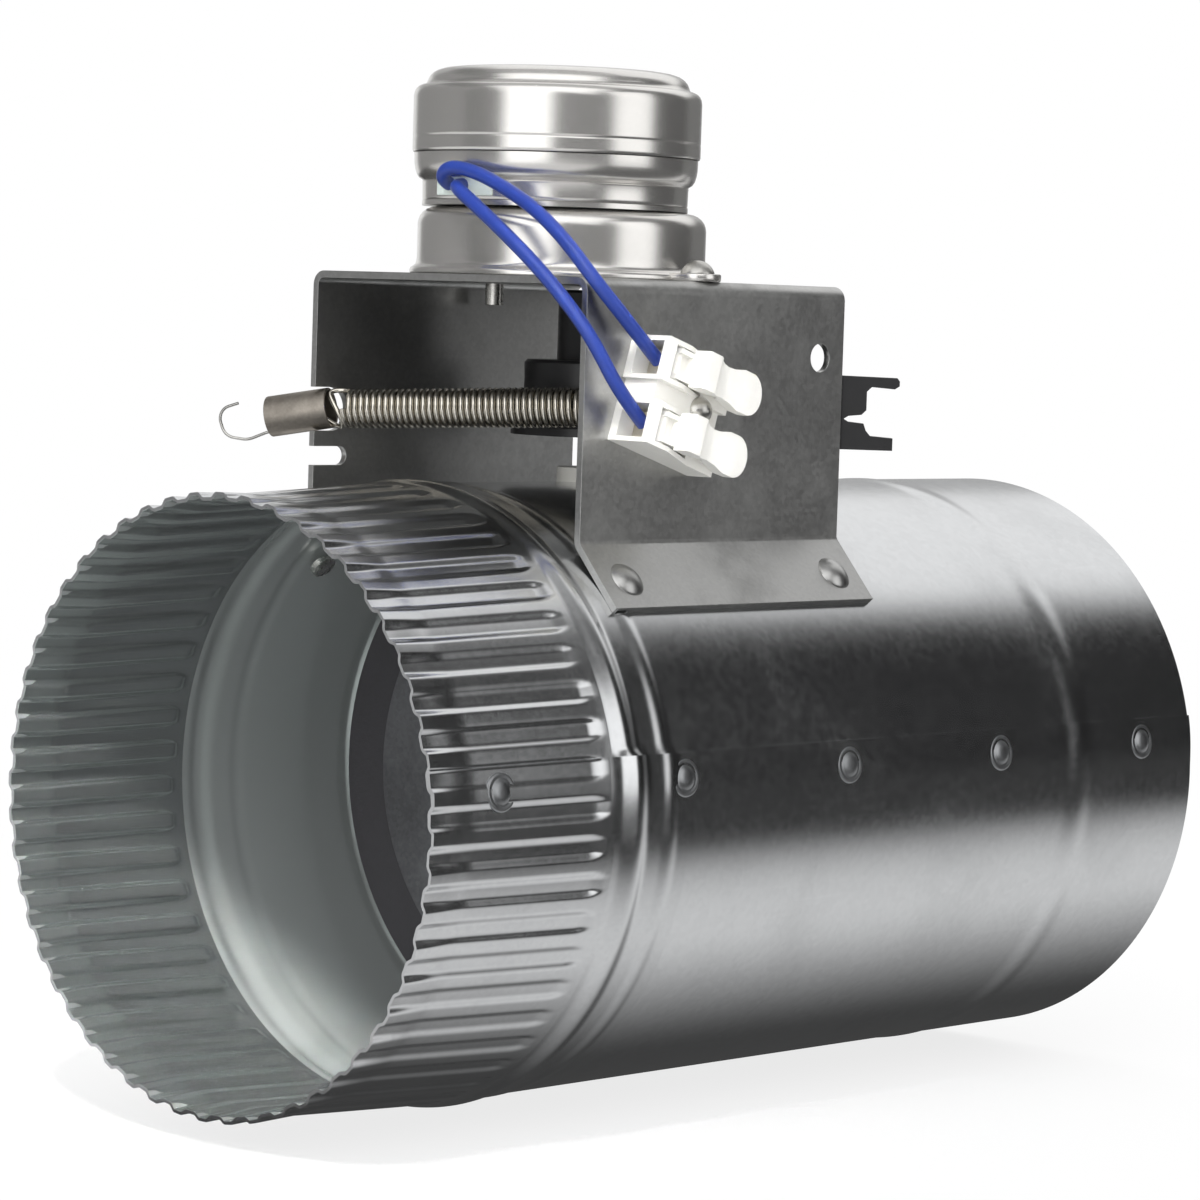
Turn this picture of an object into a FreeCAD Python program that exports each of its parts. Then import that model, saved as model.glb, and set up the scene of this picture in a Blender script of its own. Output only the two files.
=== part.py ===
import FreeCAD, Part
import math
import os

# Motorized round duct damper: a crimped galvanized duct section with a gasketed blade on a
# vertical shaft, a hat bracket riveted on top, a geared synchronous motor on the bracket, a
# drive lever with a return spring, and a two-pole lever terminal on the bracket's near side.
# Units are millimetres. X runs along the duct and points out of the plain end, Z points up to
# the motor. The origin is the centre of the plain end's mouth.

Vec = FreeCAD.Vector
xAxis = Vec(1, 0, 0)
yAxis = Vec(0, 1, 0)
zAxis = Vec(0, 0, 1)

# Duct section
ductRadius = 50.8
ductWall = 0.5
ductLength = 190.5
crimpLength = 36.6
crimpRun = 1.6
crimpCount = 52
crimpDepth = 1.0
crimpRimRadius = 49.3
crimpRootStep = 0.03
crimpEase = 0.1
crimpShares = (0.00, 0.30, 0.50, 0.80)
mainBeadOffset = 42.4
mainBeadWidth = 5.0
mainBeadHeight = 1.0
stopBeadOffset = 50.6
stopBeadWidth = 2.6
stopBeadHeight = 0.5
rearBeadWidth = 6.4
rearBeadHeight = 1.1
rearBeadFromMouth = 33.0
lapWidth = 12.0
lapTopAngle = 12.0

# Clinch buttons along the lap seam
buttonFirst = 14.5
buttonPitch = 40.3
buttonCount = 5
buttonRadius = 2.6
buttonHeight = 0.6
buttonShank = 1.1
buttonAngle = 7.5

# Bracket bent from one sheet
bracketFront = 48.6
bracketLength = 63.5
bracketWidth = 63.5
bracketTop = 85.1
bracketSheet = 1.2
bracketBend = 1.2
footAngle = 41.1
footLength = 13.0
seatClearance = 0.05
springNotchHeight = 7.4
springNotchDepth = 7.6
springNotchZ = 61.8
spareNotchHeight = 3.2
spareNotchZ = 53.9
sideHoleRadius = 2.4
sideHoleFromRear = 6.0
sideHoleZ = 73.1
rivetFromBend = 7.4
rivetEdge = 6.2
rivetHeadRadius = 3.3
rivetHeadHeight = 1.3
rivetShank = 1.6
rivetTailRadius = 2.3
rivetTailLength = 1.3
rivetTailDrop = 0.9
neckClearance = 0.5

# Shaft, bushings and blade
shaftFromRim = 87.0
shaftRadius = 3.175
shaftFlat = 2.3
runClearance = 0.05
bushRadius = 5.2
bushFlangeRadius = 7.5
bushFlange = 0.8
upperBushHeight = 2.4
bushProud = 0.1
shaftFootDrop = 0.35
shaftTopDrop = 2.0
bladeTilt = 6.5
plateThickness = 0.8
platesRadius = 41.2
gasketThickness = 2.0
sweepClearance = 0.35
bladeScrewSpacing = 44.0
bladeScrewRadius = 2.0
bladeScrewHead = 3.6
bladeScrewHeadHeight = 2.2
backPlateTrim = 3.0

# Drive lever moulded in one piece with its spring drum
neckRadius = 8.1
drumRadius = 13.6
lipRadius = 15.6
lipBottom = 58.6
lipThickness = 1.4
drumTop = 71.3
neckTop = 83.2
armThickness = 3.0
armBottom = 57.7
armTop = 70.3
armEnd = 44.7
fingerEnd = 50.2
lowerFingerEnd = 49.3
upperFingerHeight = 1.9
lowerFingerHeight = 2.1
armRise = 0.4
jawRound = 0.8
jawSplit = 62.9
jawApex = 40.9
jawGap = 1.5
armEdgeClearance = 0.35
pegGap = 15.0
springPostRadius = 1.3
springPostHeight = 9.0
setScrewRadius = 1.9
setScrewZ = 68.0
setScrewSunk = 0.6
outputShaftDrop = 1.6
drumEdge = 0.5

# Return spring, anchor sleeve and tie wire
springRadius = 3.45
springWire = 1.0
coilPitch = 1.1
springDrumClearance = 0.2
springLift = 0.2
springAnchorZ = 61.8
anchorFromNotch = 1.0
coilEndFromNotch = 4.2
wrapEndGap = 26.0
hookGap = 0.2
hookReach = 0.9
hookBend = 0.8
eyeClearance = 0.02
sleeveRadius = 3.45
sleeveBore = 3.0
sleeveLength = 11.0
sleeveInside = 1.2
sleeveDroop = 10.0
tieWireRadius = 0.25
tieWireInside = 6.0
tieWireCurl = ((1.0, 0.0), (4.6, -0.8), (8.6, 0.4), (9.4, 5.0), (5.4, 5.6))
tieWireBends = (4.0, 4.0, 2.6, 2.2)

# Motor
housingX = 75.5
canX = 73.6
housingRadius = 24.2
housingHeight = 11.3
housingWall = 0.9
housingShoulder = 1.6
housingEdge = 0.5
housingFoot = 0.9
housingRim = 2.0
flangeRadius = 25.2
flangeThickness = 1.3
earAngles = (-81.7, 68.0)
earReach = 27.6
earRadius = 3.9
motorScrewRadius = 1.6
motorScrewHead = 2.85
motorScrewHeadHeight = 2.2
motorScrewLength = 6.2
midPlateThickness = 1.0
midPlateRadius = 22.3
bandRadius = 22.25
bandTopRadius = 23.9
bandStraight = 2.5
bandHeight = 7.9
bandFlare = 0.6
bandFlareRun = 1.0
canRadius = 24.1
canHeight = 11.4
canWall = 0.8
canShoulder = 1.8
canEdge = 0.5
domeRadius = 21.9
domeHeight = 3.5
domeShoulder = 2.2
domeFoot = 0.9
windowHalfAngle = 16.5
windowHeight = 3.4
windowBase = 0.5
bushSeat = 0.35
bushDepth = 2.2
windowFit = 0.07
windowFitAngle = 0.3
windowDepth = 3.0

# Motor internals
toothModule = 0.6
outputTeeth = 36
clusterGearTeeth = 30
pinionTeeth = 10
gearThickness = 2.6
gearLift = 1.0
gearStep = 1.0
outputShaftRadius = 3.0
journalStep = 1.0
clusterPinRadius = 1.0
rotorShaftRadius = 1.0
rotorRadius = 9.0
bobbinBore = 10.0
coilInner = 11.2
coilOuter = 19.5
coilHeight = 11.0
bobbinFlange = 1.2
poleThickness = 1.0
poleRadius = 19.8
poleBoss = 2.4
motorGap = 0.4

# Lever terminal on the near plate
terminalX = 54.3
terminalZ = 59.3
terminalTurn = 17.0
terminalLength = 20.3
terminalDepth = 8.4
poleWidth = 7.2
polePitch = 10.5
poleWall = 0.8
poleFloor = 1.6
poleDeck = 1.2
deckLength = 2.0
tailDepth = 5.2
deckSlopeStart = 5.4
webDepth = 6.9
webSetback = 0.8
pocketEnd = 12.4
trunnionRadius = 0.75
pinReach = 0.4
pinEndGap = 0.1
trunnionAlong = 4.0
trunnionDepth = 7.2
leverStart = 6.1
leverDepth = 12.1
leverPadRadius = 3.45
leverPadAlong = 19.6
leverPadFlat = 2.2
leverPadTop = 1.5
leverPadUnder = 0.7
leverHalfWidth = 3.1
leverWaist = 2.6
leverWaistAlong = 13.0
leverCrown = 2.8
leverEdge = 0.4
leverNose = 0.9
leverEarWidth = 0.8
leverEarTop = 0.2
leverFit = 0.3
leverLift = 0.45
contactSheet = 0.4
contactWidth = 4.4
contactStop = 3.6
contactEnd = 10.6
contactLean = 2.6
contactRise = 5.0
contactBend = 0.3
leadDepth = 4.6
terminalScrewAlong = 12.1
terminalScrewRadius = 1.5
terminalScrewHead = 2.4
terminalScrewHeadHeight = 1.9
terminalScrewFit = 0.2
terminalScrewLength = 10.4

# Motor leads, free between the motor's window and the terminal
leadRadius = 1.15
leadBendShare = 0.45
leadFit = 0.6

# How far plain cutting cylinders reach
cutReach = 20.0

rimX = -ductLength
shaftX = rimX + shaftFromRim
innerRadius = ductRadius - ductWall
bracketRear = rimX + bracketFront + bracketLength
halfWidth = bracketWidth / 2
plateInner = halfWidth - bracketSheet
motorX = rimX + housingX
statorX = rimX + canX
housingTop = bracketTop + housingHeight
midTop = housingTop + midPlateThickness
bandTop = midTop + bandHeight
canTop = bandTop + canHeight
springAxisRadius = drumRadius + springDrumClearance + springRadius
springDrumZ = lipBottom + lipThickness + springLift + springRadius


def polar(radius, degrees):
    angle = math.radians(degrees)
    return radius * math.cos(angle), radius * math.sin(angle)


def cylinder(radius, height, base, axis=zAxis):
    return Part.makeCylinder(radius, height, base, axis)


def tube(outer, inner, height, base, axis=zAxis):
    return cylinder(outer, height, base, axis).cut(cylinder(inner, height, base, axis))


def block(low, high):
    return Part.makeBox(high[0] - low[0], high[1] - low[1], high[2] - low[2], Vec(*low))


def turned(profile, centreX, centreY=0.0):
    """Revolves a closed outline of (radius, z) points about a vertical axis."""
    points = [Vec(centreX + r, centreY, z) for r, z in profile]
    face = Part.Face(Part.makePolygon(points + [points[0]]))
    return face.revolve(Vec(centreX, centreY, 0), zAxis, 360)


def roundedPath(points, radii):
    """Straight runs through the points, with a tangent arc of the given radius at each corner."""
    edges = []
    start = points[0]
    for index in range(1, len(points) - 1):
        corner = points[index]
        inward = (corner - points[index - 1]).normalize()
        outward = (points[index + 1] - corner).normalize()
        halfTurn = inward.getAngle(outward) / 2
        reach = radii[index - 1] * math.tan(halfTurn)
        arcStart = corner - inward * reach
        arcEnd = corner + outward * reach
        bisector = (outward - inward).normalize()
        middle = corner + bisector * (radii[index - 1] * (1 / math.cos(halfTurn) - 1))
        if start.distanceToPoint(arcStart) > 1e-6:
            edges.append(Part.LineSegment(start, arcStart).toShape())
        edges.append(Part.Arc(arcStart, middle, arcEnd).toShape())
        start = arcEnd
    edges.append(Part.LineSegment(start, points[-1]).toShape())
    return edges


def offsetPoints(points, distance, normal):
    """Moves an open polyline sideways by a distance, keeping its segments parallel."""
    sides = []
    for index in range(len(points) - 1):
        along = (points[index + 1] - points[index]).normalize()
        sides.append(normal.cross(along))
    moved = [points[0] + sides[0] * distance]
    for index in range(1, len(points) - 1):
        mean = (sides[index - 1] + sides[index]).normalize()
        moved.append(points[index] + mean * (distance / mean.dot(sides[index])))
    moved.append(points[-1] + sides[-1] * distance)
    return moved


def bentSheet(points, normal, thickness, innerBend, width):
    """Extrudes a bent strip along normal: points give one surface, thickness goes to its left."""
    other = offsetPoints(points, thickness, normal)
    near = []
    far = []
    for index in range(1, len(points) - 1):
        inward = points[index] - points[index - 1]
        outward = points[index + 1] - points[index]
        turnsLeft = normal.dot(inward.cross(outward)) > 0
        near.append(innerBend + thickness if turnsLeft else innerBend)
        far.append(innerBend if turnsLeft else innerBend + thickness)
    edges = roundedPath(points, near)
    edges.append(Part.LineSegment(points[-1], other[-1]).toShape())
    edges.extend(roundedPath(other, far))
    edges.append(Part.LineSegment(other[0], points[0]).toShape())
    face = Part.Face(Part.Wire(Part.__sortEdges__(edges)))
    return face.extrude(normal * width)


def panHead(radius, height, shank, length, base, axis):
    """A domed screw: its head stands on base along axis, and its shank goes the other way."""
    crown = (radius * radius + height * height) / (2 * height)
    ball = Part.makeSphere(crown, base + axis * (height - crown))
    head = ball.common(cylinder(radius + 1, height + 1, base, axis))
    return head.fuse(cylinder(shank, length, base - axis * length, axis)).removeSplitter()


def gear(teeth, thickness, base):
    """A spur gear whose slim trapezoid teeth leave running backlash; a tooth lies along +X."""
    pitchRadius = toothModule * teeth / 2
    tip = pitchRadius + 0.8 * toothModule
    root = pitchRadius - 1.05 * toothModule
    step = 2 * math.pi / teeth
    rootHalf = 0.62 * toothModule / root
    tipHalf = 0.26 * toothModule / tip
    pitchHalf = 0.62 * toothModule / pitchRadius
    points = []
    for tooth in range(teeth):
        centre = tooth * step
        for radius, offset in ((root, -rootHalf - 0.15 * step), (pitchRadius, -pitchHalf),
                               (tip, -tipHalf), (tip, tipHalf), (pitchRadius, pitchHalf),
                               (root, rootHalf + 0.15 * step)):
            points.append(base + Vec(radius * math.cos(centre + offset),
                                     radius * math.sin(centre + offset), 0))
    face = Part.Face(Part.makePolygon(points + [points[0]]))
    return face.extrude(zAxis * thickness)


def save(shape, node):
    shape.exportStep("parts/" + node + ".step")
    print(node, len(shape.Solids), round(shape.Volume, 2), shape.isValid())


# Duct

def beads():
    """Centre, width and height of each outward bead, from the crimps to the mouth."""
    yield rimX + mainBeadOffset, mainBeadWidth, mainBeadHeight
    yield rimX + stopBeadOffset, stopBeadWidth, stopBeadHeight
    yield -rearBeadFromMouth, rearBeadWidth, rearBeadHeight


def ductProfile(radius):
    """The duct wall's line at one radius from the crimps' root to the mouth, with its beads."""
    edges = []
    at = Vec(rimX + crimpLength + crimpRun, radius, 0)
    for centre, width, height in beads():
        start = Vec(centre - width / 2, radius, 0)
        end = Vec(centre + width / 2, radius, 0)
        edges.append(Part.LineSegment(at, start).toShape())
        edges.append(Part.Arc(start, Vec(centre, radius + height, 0), end).toShape())
        at = end
    mouth = Vec(0, radius, 0)
    edges.append(Part.LineSegment(at, mouth).toShape())
    return edges, mouth


def crimpSection(x, crest, valley):
    """A closed corrugated outline: flat crests and valleys joined by slanted flanks."""
    points = []
    for flute in range(crimpCount):
        for share, radius in zip(crimpShares, (valley, valley, crest, crest)):
            across, up = polar(radius, 360 * (flute + share) / crimpCount)
            points.append(Vec(x, across, up))
    return Part.makePolygon(points + [points[0]])


def crimpLoft(inset, root):
    rootX = rimX + crimpLength + crimpRun
    sections = [
        crimpSection(rootX, root, root),
        crimpSection(rimX + crimpLength, ductRadius - crimpEase - inset, ductRadius - crimpDepth - inset),
        crimpSection(rimX, crimpRimRadius - inset, crimpRimRadius - crimpDepth - inset),
    ]
    return Part.makeLoft(sections, True, True)


def lapStrip():
    """The outer layer of the lap seam, one wall thick at its upper edge and fading below."""
    low = lapTopAngle - math.degrees(lapWidth / ductRadius)
    middle = (low + lapTopAngle) / 2
    sunk = ductRadius - ductWall / 2
    foot = Vec(0, *polar(sunk, 180 - low))
    under = Vec(0, *polar(sunk, 180 - middle))
    root = Vec(0, *polar(sunk, 180 - lapTopAngle))
    edge = Vec(0, *polar(ductRadius + ductWall, 180 - lapTopAngle))
    over = Vec(0, *polar(ductRadius + ductWall * 0.6, 180 - middle))
    wire = Part.Wire([Part.Arc(foot, under, root).toShape(), Part.LineSegment(root, edge).toShape(),
                      Part.Arc(edge, over, foot).toShape()])
    face = Part.Face(wire)
    start = rimX + stopBeadOffset + stopBeadWidth
    length = -rearBeadFromMouth - rearBeadWidth - start
    strips = []
    for x, run in ((start, length), (-rearBeadFromMouth + rearBeadWidth, rearBeadFromMouth - rearBeadWidth)):
        piece = face.copy()
        piece.translate(Vec(x, 0, 0))
        strips.append(piece.extrude(Vec(run, 0, 0)))
    return strips


def buttonPlaces():
    for index in range(buttonCount):
        yield rimX + buttonFirst + index * buttonPitch


def radialAxis(angle):
    """Unit vector from the duct's axis towards the near side, raised by angle."""
    across, up = polar(1, 180 - angle)
    return Vec(0, across, up)


def rivetSeats():
    """Points on the feet's outer face with the outward normal there, for the four bracket rivets."""
    for side in (-1, 1):
        across, up = polar(1, footAngle)
        normal = Vec(0, side * across, up)
        along = Vec(0, side * up, -across)
        bend = Vec(0, side * halfWidth, 0)
        bend.z = (ductRadius + bracketSheet - across * halfWidth) / up
        for x in (rimX + bracketFront + rivetEdge, bracketRear - rivetEdge):
            yield bend + along * rivetFromBend + Vec(x, 0, 0), normal


def ductShell():
    outerEdges, outerMouth = ductProfile(ductRadius)
    innerEdges, innerMouth = ductProfile(innerRadius)
    rootX = rimX + crimpLength + crimpRun
    edges = innerEdges + outerEdges
    edges.append(Part.LineSegment(outerMouth, innerMouth).toShape())
    edges.append(Part.LineSegment(Vec(rootX, ductRadius, 0), Vec(rootX, innerRadius, 0)).toShape())
    face = Part.Face(Part.Wire(Part.__sortEdges__(edges)))
    shell = face.revolve(Vec(0, 0, 0), xAxis, 360)
    outerLoft = crimpLoft(0, ductRadius - crimpRootStep)
    shell = shell.fuse(outerLoft.cut(crimpLoft(ductWall, innerRadius + crimpRootStep)))
    shell = shell.fuse(lapStrip())
    reach = 2 * ductRadius
    holes = [cylinder(bushRadius, 2 * reach, Vec(shaftX, 0, -reach))]
    for x in buttonPlaces():
        axis = radialAxis(buttonAngle)
        holes.append(cylinder(buttonShank, ductRadius, Vec(x, 0, 0) + axis * ductRadius / 2, axis))
    for seat, normal in rivetSeats():
        holes.append(cylinder(rivetShank, cutReach, seat - normal * cutReach / 2, normal))
    return shell.cut(holes).removeSplitter()


def seamButtons():
    buttons = []
    axis = radialAxis(buttonAngle)
    for x in buttonPlaces():
        taper = (ductRadius - crimpEase - crimpRimRadius) * (x - rimX + buttonRadius) / crimpLength
        surface = crimpRimRadius + taper if x < rimX + crimpLength else ductRadius + ductWall
        base = Vec(x, 0, 0) + axis * surface
        dome = panHead(buttonRadius, buttonHeight, buttonShank, 2 * ductWall, base, axis)
        buttons.append(dome)
    return Part.makeCompound(buttons)


# Bracket

def motorBracket():
    across, up = polar(1, footAngle)
    bendZ = (ductRadius + bracketSheet - across * halfWidth) / up
    footY = halfWidth + footLength * up
    footZ = bendZ - footLength * across
    x = rimX + bracketFront
    points = [Vec(x, footY, footZ), Vec(x, halfWidth, bendZ), Vec(x, halfWidth, bracketTop),
              Vec(x, -halfWidth, bracketTop), Vec(x, -halfWidth, bendZ), Vec(x, -footY, footZ)]
    hat = bentSheet(points, xAxis, bracketSheet, bracketBend, bracketLength)
    slots = []
    for z, height in ((springNotchZ, springNotchHeight), (spareNotchZ, spareNotchHeight)):
        end = x + springNotchDepth - height / 2
        slots.append(block((x - 1, plateInner - 1, z - height / 2), (end, halfWidth + 1, z + height / 2)))
        slots.append(cylinder(height / 2, bracketSheet + 2, Vec(end, plateInner - 1, z), yAxis))
    slots.append(cylinder(sideHoleRadius, bracketSheet + 2,
                          Vec(bracketRear - sideHoleFromRear, -halfWidth - 1, sideHoleZ), yAxis))
    slots.append(cylinder(neckRadius + neckClearance, bracketSheet + 2,
                          Vec(shaftX, 0, bracketTop - bracketSheet - 1)))
    for seat, normal in rivetSeats():
        slots.append(cylinder(rivetShank, 4 * bracketSheet, seat - normal * 3 * bracketSheet, normal))
    for ear in earPlaces():
        slots.append(cylinder(motorScrewRadius, bracketSheet + 2, ear + Vec(0, 0, -bracketSheet - 1)))
    slots.append(terminalPlace(cylinder(terminalScrewRadius, bracketSheet + 2,
                                        terminalScrewSpot(-bracketSheet - 1))))
    slots.append(cylinder(ductRadius + stopBeadHeight + seatClearance, stopBeadWidth,
                          Vec(rimX + stopBeadOffset - stopBeadWidth / 2, 0, 0), xAxis))
    return hat.cut(slots)


def bracketRivets():
    rivets = []
    for seat, normal in rivetSeats():
        depth = bracketSheet + ductWall + rivetTailDrop
        body = panHead(rivetHeadRadius, rivetHeadHeight, rivetShank, depth, seat, normal)
        tail = cylinder(rivetTailRadius, rivetTailLength, seat - normal * (depth + rivetTailLength), normal)
        rivets.append(body.fuse(tail))
    return Part.makeCompound(rivets)


# Shaft, bushings and blade

def upperBushing():
    bottom = innerRadius - bushProud
    top = ductRadius + upperBushHeight
    body = cylinder(bushRadius, top - bottom, Vec(shaftX, 0, bottom))
    flange = cylinder(bushFlangeRadius, top - bottom, Vec(shaftX, 0, bottom))
    flange = flange.cut(cylinder(ductRadius, 2 * cutReach, Vec(shaftX - cutReach, 0, 0), xAxis))
    bore = cylinder(shaftRadius + runClearance, cutReach, Vec(shaftX, 0, bottom - cutReach / 4))
    return body.fuse(flange).cut(bore).removeSplitter()


def lowerBushing():
    """A closed cup in the duct's lowest point that carries the shaft's foot."""
    top = -innerRadius + bushProud
    bottom = -ductRadius - bushFlange
    body = cylinder(bushRadius, top - bottom, Vec(shaftX, 0, bottom))
    flange = cylinder(bushFlangeRadius, top - bottom, Vec(shaftX, 0, bottom))
    flange = flange.cut(cylinder(ductRadius, 2 * cutReach, Vec(shaftX - cutReach, 0, 0), xAxis))
    bore = cylinder(shaftRadius + runClearance, cutReach, Vec(shaftX, 0, bottom + bushFlange / 2))
    return body.fuse(flange).cut(bore).removeSplitter()


def tilted(shape):
    """Turns a blade piece, drawn square to the duct, to its closed angle about the shaft."""
    shape.rotate(Vec(shaftX, 0, 0), zAxis, bladeTilt)
    return shape


def gasketFront():
    return shaftFlat + plateThickness + gasketThickness


def gasketRadius():
    """The largest disc at the gasket's offset whose rim clears the duct through the whole turn."""
    return math.sqrt((innerRadius - sweepClearance) ** 2 - gasketFront() ** 2)


def bladeDisc(radius, front, thickness):
    disc = cylinder(radius, thickness, Vec(shaftX - front, 0, 0), xAxis)
    holes = [cylinder(bladeScrewRadius, thickness + 2, Vec(shaftX - front - 1, 0, z), xAxis)
             for z in (-bladeScrewSpacing / 2, bladeScrewSpacing / 2)]
    return tilted(disc.cut(holes))


def bladeFrontPlate():
    return bladeDisc(platesRadius, gasketFront() + plateThickness, plateThickness)


def bladeGasket():
    return bladeDisc(gasketRadius(), gasketFront(), gasketThickness)


def bladeBackPlate():
    return bladeDisc(platesRadius + backPlateTrim, shaftFlat + plateThickness, plateThickness)


def bladeShaft():
    foot = -ductRadius - shaftFootDrop
    top = drumTop - shaftTopDrop
    shaft = cylinder(shaftRadius, top - foot, Vec(shaftX, 0, foot))
    flatHalf = gasketRadius() + sweepClearance
    flat = block((shaftX - shaftRadius - 1, -shaftRadius - 1, -flatHalf),
                 (shaftX - shaftFlat, shaftRadius + 1, flatHalf))
    shaft = shaft.cut(tilted(flat))
    holes = [cylinder(bladeScrewRadius, cutReach, Vec(shaftX - cutReach / 2, 0, z), xAxis)
             for z in (-bladeScrewSpacing / 2, bladeScrewSpacing / 2)]
    return shaft.cut([tilted(hole) for hole in holes])


def bladeScrews():
    screws = []
    front = shaftX - gasketFront() - plateThickness
    length = gasketFront() + plateThickness + shaftRadius
    for z in (-bladeScrewSpacing / 2, bladeScrewSpacing / 2):
        screws.append(panHead(bladeScrewHead, bladeScrewHeadHeight, bladeScrewRadius, length,
                              Vec(front, 0, z), xAxis * -1))
    return tilted(Part.makeCompound(screws))


# Drive lever

def armAngle():
    """The lever rests with its face just off the rear edge of the near plate."""
    cornerX = bracketRear - shaftX
    distance = math.hypot(cornerX, plateInner)
    lead = math.asin((armThickness / 2 + armEdgeClearance) / distance)
    return math.degrees(lead - math.atan2(plateInner, cornerX))


def armOutline():
    """The arm's side view as (reach, z): a bar split into two jaws, each with an outer finger."""
    root = drumRadius - armThickness
    upperJaw = armTop - upperFingerHeight
    lowerJaw = armBottom + lowerFingerHeight
    apexGap = jawGap / 3
    return [
        (root, armBottom), (lowerFingerEnd, armBottom), (lowerFingerEnd, lowerJaw),
        (armEnd + jawRound, lowerJaw + jawRound / 3), (armEnd, lowerJaw + 1.5 * jawRound),
        (armEnd - jawRound / 2, jawSplit - jawGap / 2), (jawApex + jawRound, jawSplit - apexGap),
        (jawApex, jawSplit), (jawApex + jawRound, jawSplit + apexGap),
        (armEnd - jawRound, jawSplit + jawGap / 2), (armEnd, jawSplit + jawGap / 2 + jawRound),
        (armEnd, upperJaw - jawRound), (armEnd + jawRound, upperJaw),
        (fingerEnd - jawRound, upperJaw - jawRound / 3), (fingerEnd, upperJaw + jawRound / 3),
        (fingerEnd, armTop - jawRound), (fingerEnd - jawRound / 2, armTop - jawRound / 3),
        (root, armTop + armRise),
    ]


def driveLever():
    body = turned([(0, lipBottom), (lipRadius, lipBottom), (lipRadius, lipBottom + lipThickness),
                   (drumRadius, lipBottom + lipThickness), (drumRadius, drumTop - drumEdge),
                   (drumRadius - drumEdge, drumTop), (neckRadius, drumTop),
                   (neckRadius, neckTop - drumEdge), (neckRadius - drumEdge, neckTop),
                   (0, neckTop)], shaftX)
    points = [Vec(shaftX + reach, -armThickness / 2, z) for reach, z in armOutline()]
    arm = Part.Face(Part.makePolygon(points + [points[0]])).extrude(yAxis * armThickness)
    arm.rotate(Vec(shaftX, 0, 0), zAxis, armAngle())
    lever = body.fuse(arm)
    lever = lever.fuse(springPost())
    lower = cylinder(shaftRadius, drumTop - lipBottom, Vec(shaftX, 0, lipBottom - shaftTopDrop))
    upper = cylinder(outputShaftRadius, cutReach, Vec(shaftX, 0, drumTop - outputShaftDrop))
    screwAxis = Vec(*polar(1, armAngle() + 180), 0)
    screwHole = cylinder(setScrewRadius, drumRadius + 2, Vec(shaftX, 0, setScrewZ), screwAxis)
    return lever.cut([lower, upper, screwHole]).removeSplitter()


def springPost():
    """The peg beside the arm's root that the spring's near hook goes over."""
    x, y = polar(springAxisRadius, armAngle() - pegGap)
    foot = lipBottom
    peg = cylinder(springPostRadius, springPostHeight, Vec(shaftX + x, y, foot))
    rib = block((0, -springPostRadius, foot), (springAxisRadius, springPostRadius, foot + lipThickness))
    rib.rotate(Vec(0, 0, 0), zAxis, armAngle() - pegGap)
    rib.translate(Vec(shaftX, 0, 0))
    return peg.fuse(rib)


def leverSetScrew():
    axis = Vec(*polar(1, armAngle() + 180), 0)
    length = drumRadius - shaftRadius - setScrewSunk
    return cylinder(setScrewRadius, length, Vec(shaftX, 0, setScrewZ) + axis * shaftRadius, axis)


# Return spring

def anchorPoint():
    x = rimX + bracketFront + springNotchDepth / 2 - anchorFromNotch
    return Vec(x, halfWidth - bracketSheet / 2, springAnchorZ)


def springTangent():
    """Angle about the shaft where the straight spring meets the drum on the near side."""
    anchor = anchorPoint() - Vec(shaftX, 0, 0)
    distance = math.hypot(anchor.x, anchor.y)
    bearing = math.degrees(math.atan2(anchor.y, anchor.x))
    return bearing + math.degrees(math.acos(springAxisRadius / distance))


def springLine():
    """Points and directions along the coil's axis: straight to the drum, then round it."""
    startAngle = springTangent()
    endAngle = armAngle() - wrapEndGap + 360
    x, y = polar(springAxisRadius, startAngle)
    tangent = Vec(shaftX + x, y, springDrumZ)
    anchor = anchorPoint()
    inward = (tangent - anchor).normalize()
    start = anchor + inward * coilEndFromNotch
    straight = start.distanceToPoint(tangent)
    arc = math.radians(endAngle - startAngle) * springAxisRadius
    coils = int((straight + arc) / coilPitch)
    line = []
    for index in range(2 * coils + 1):
        reach = index * (straight + arc) / (2 * coils)
        if reach < straight:
            line.append((start + inward * reach, inward))
            continue
        angle = startAngle + math.degrees((reach - straight) / springAxisRadius)
        px, py = polar(springAxisRadius, angle)
        tx, ty = polar(1, angle + 90)
        line.append((Vec(shaftX + px, py, springDrumZ), Vec(tx, ty, 0)))
    return line


def returnSpring():
    """The close-wound coil as a ribbed body, one ridge for each turn, with a hook at each end."""
    line = springLine()
    rings = []
    for index, (centre, direction) in enumerate(line):
        radius = springRadius if index % 2 else springRadius - springWire / 2
        rings.append(Part.Wire(Part.makeCircle(radius, centre, direction)))
    coil = Part.makeLoft(rings, True, True)
    return coil.fuse(farHook(line[0])).fuse(nearHook(line[-1]))


def wireTube(points, radii, radius):
    path = Part.Wire(roundedPath(points, radii))
    start = points[0]
    direction = points[1] - points[0]
    profile = Part.Wire(Part.makeCircle(radius, start, direction))
    return path.makePipeShell([profile], True, True)


def farHook(coilEnd):
    """From the coil's far end down past the tongue, out through the spare notch and up again."""
    centre, direction = coilEnd
    wire = springWire / 2
    x = rimX + bracketFront + springNotchDepth / 2
    inside = plateInner - wire - hookGap
    outside = halfWidth + wire + hookGap
    tongueTop = springNotchZ - springNotchHeight / 2
    points = [centre + direction, centre - direction * hookReach, Vec(x, inside - wire, tongueTop - wire),
              Vec(x, inside, spareNotchZ), Vec(x, outside, spareNotchZ), Vec(x, outside, tongueTop - wire)]
    return wireTube(points, [hookBend, hookBend, hookBend / 2, hookBend], wire)


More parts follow.
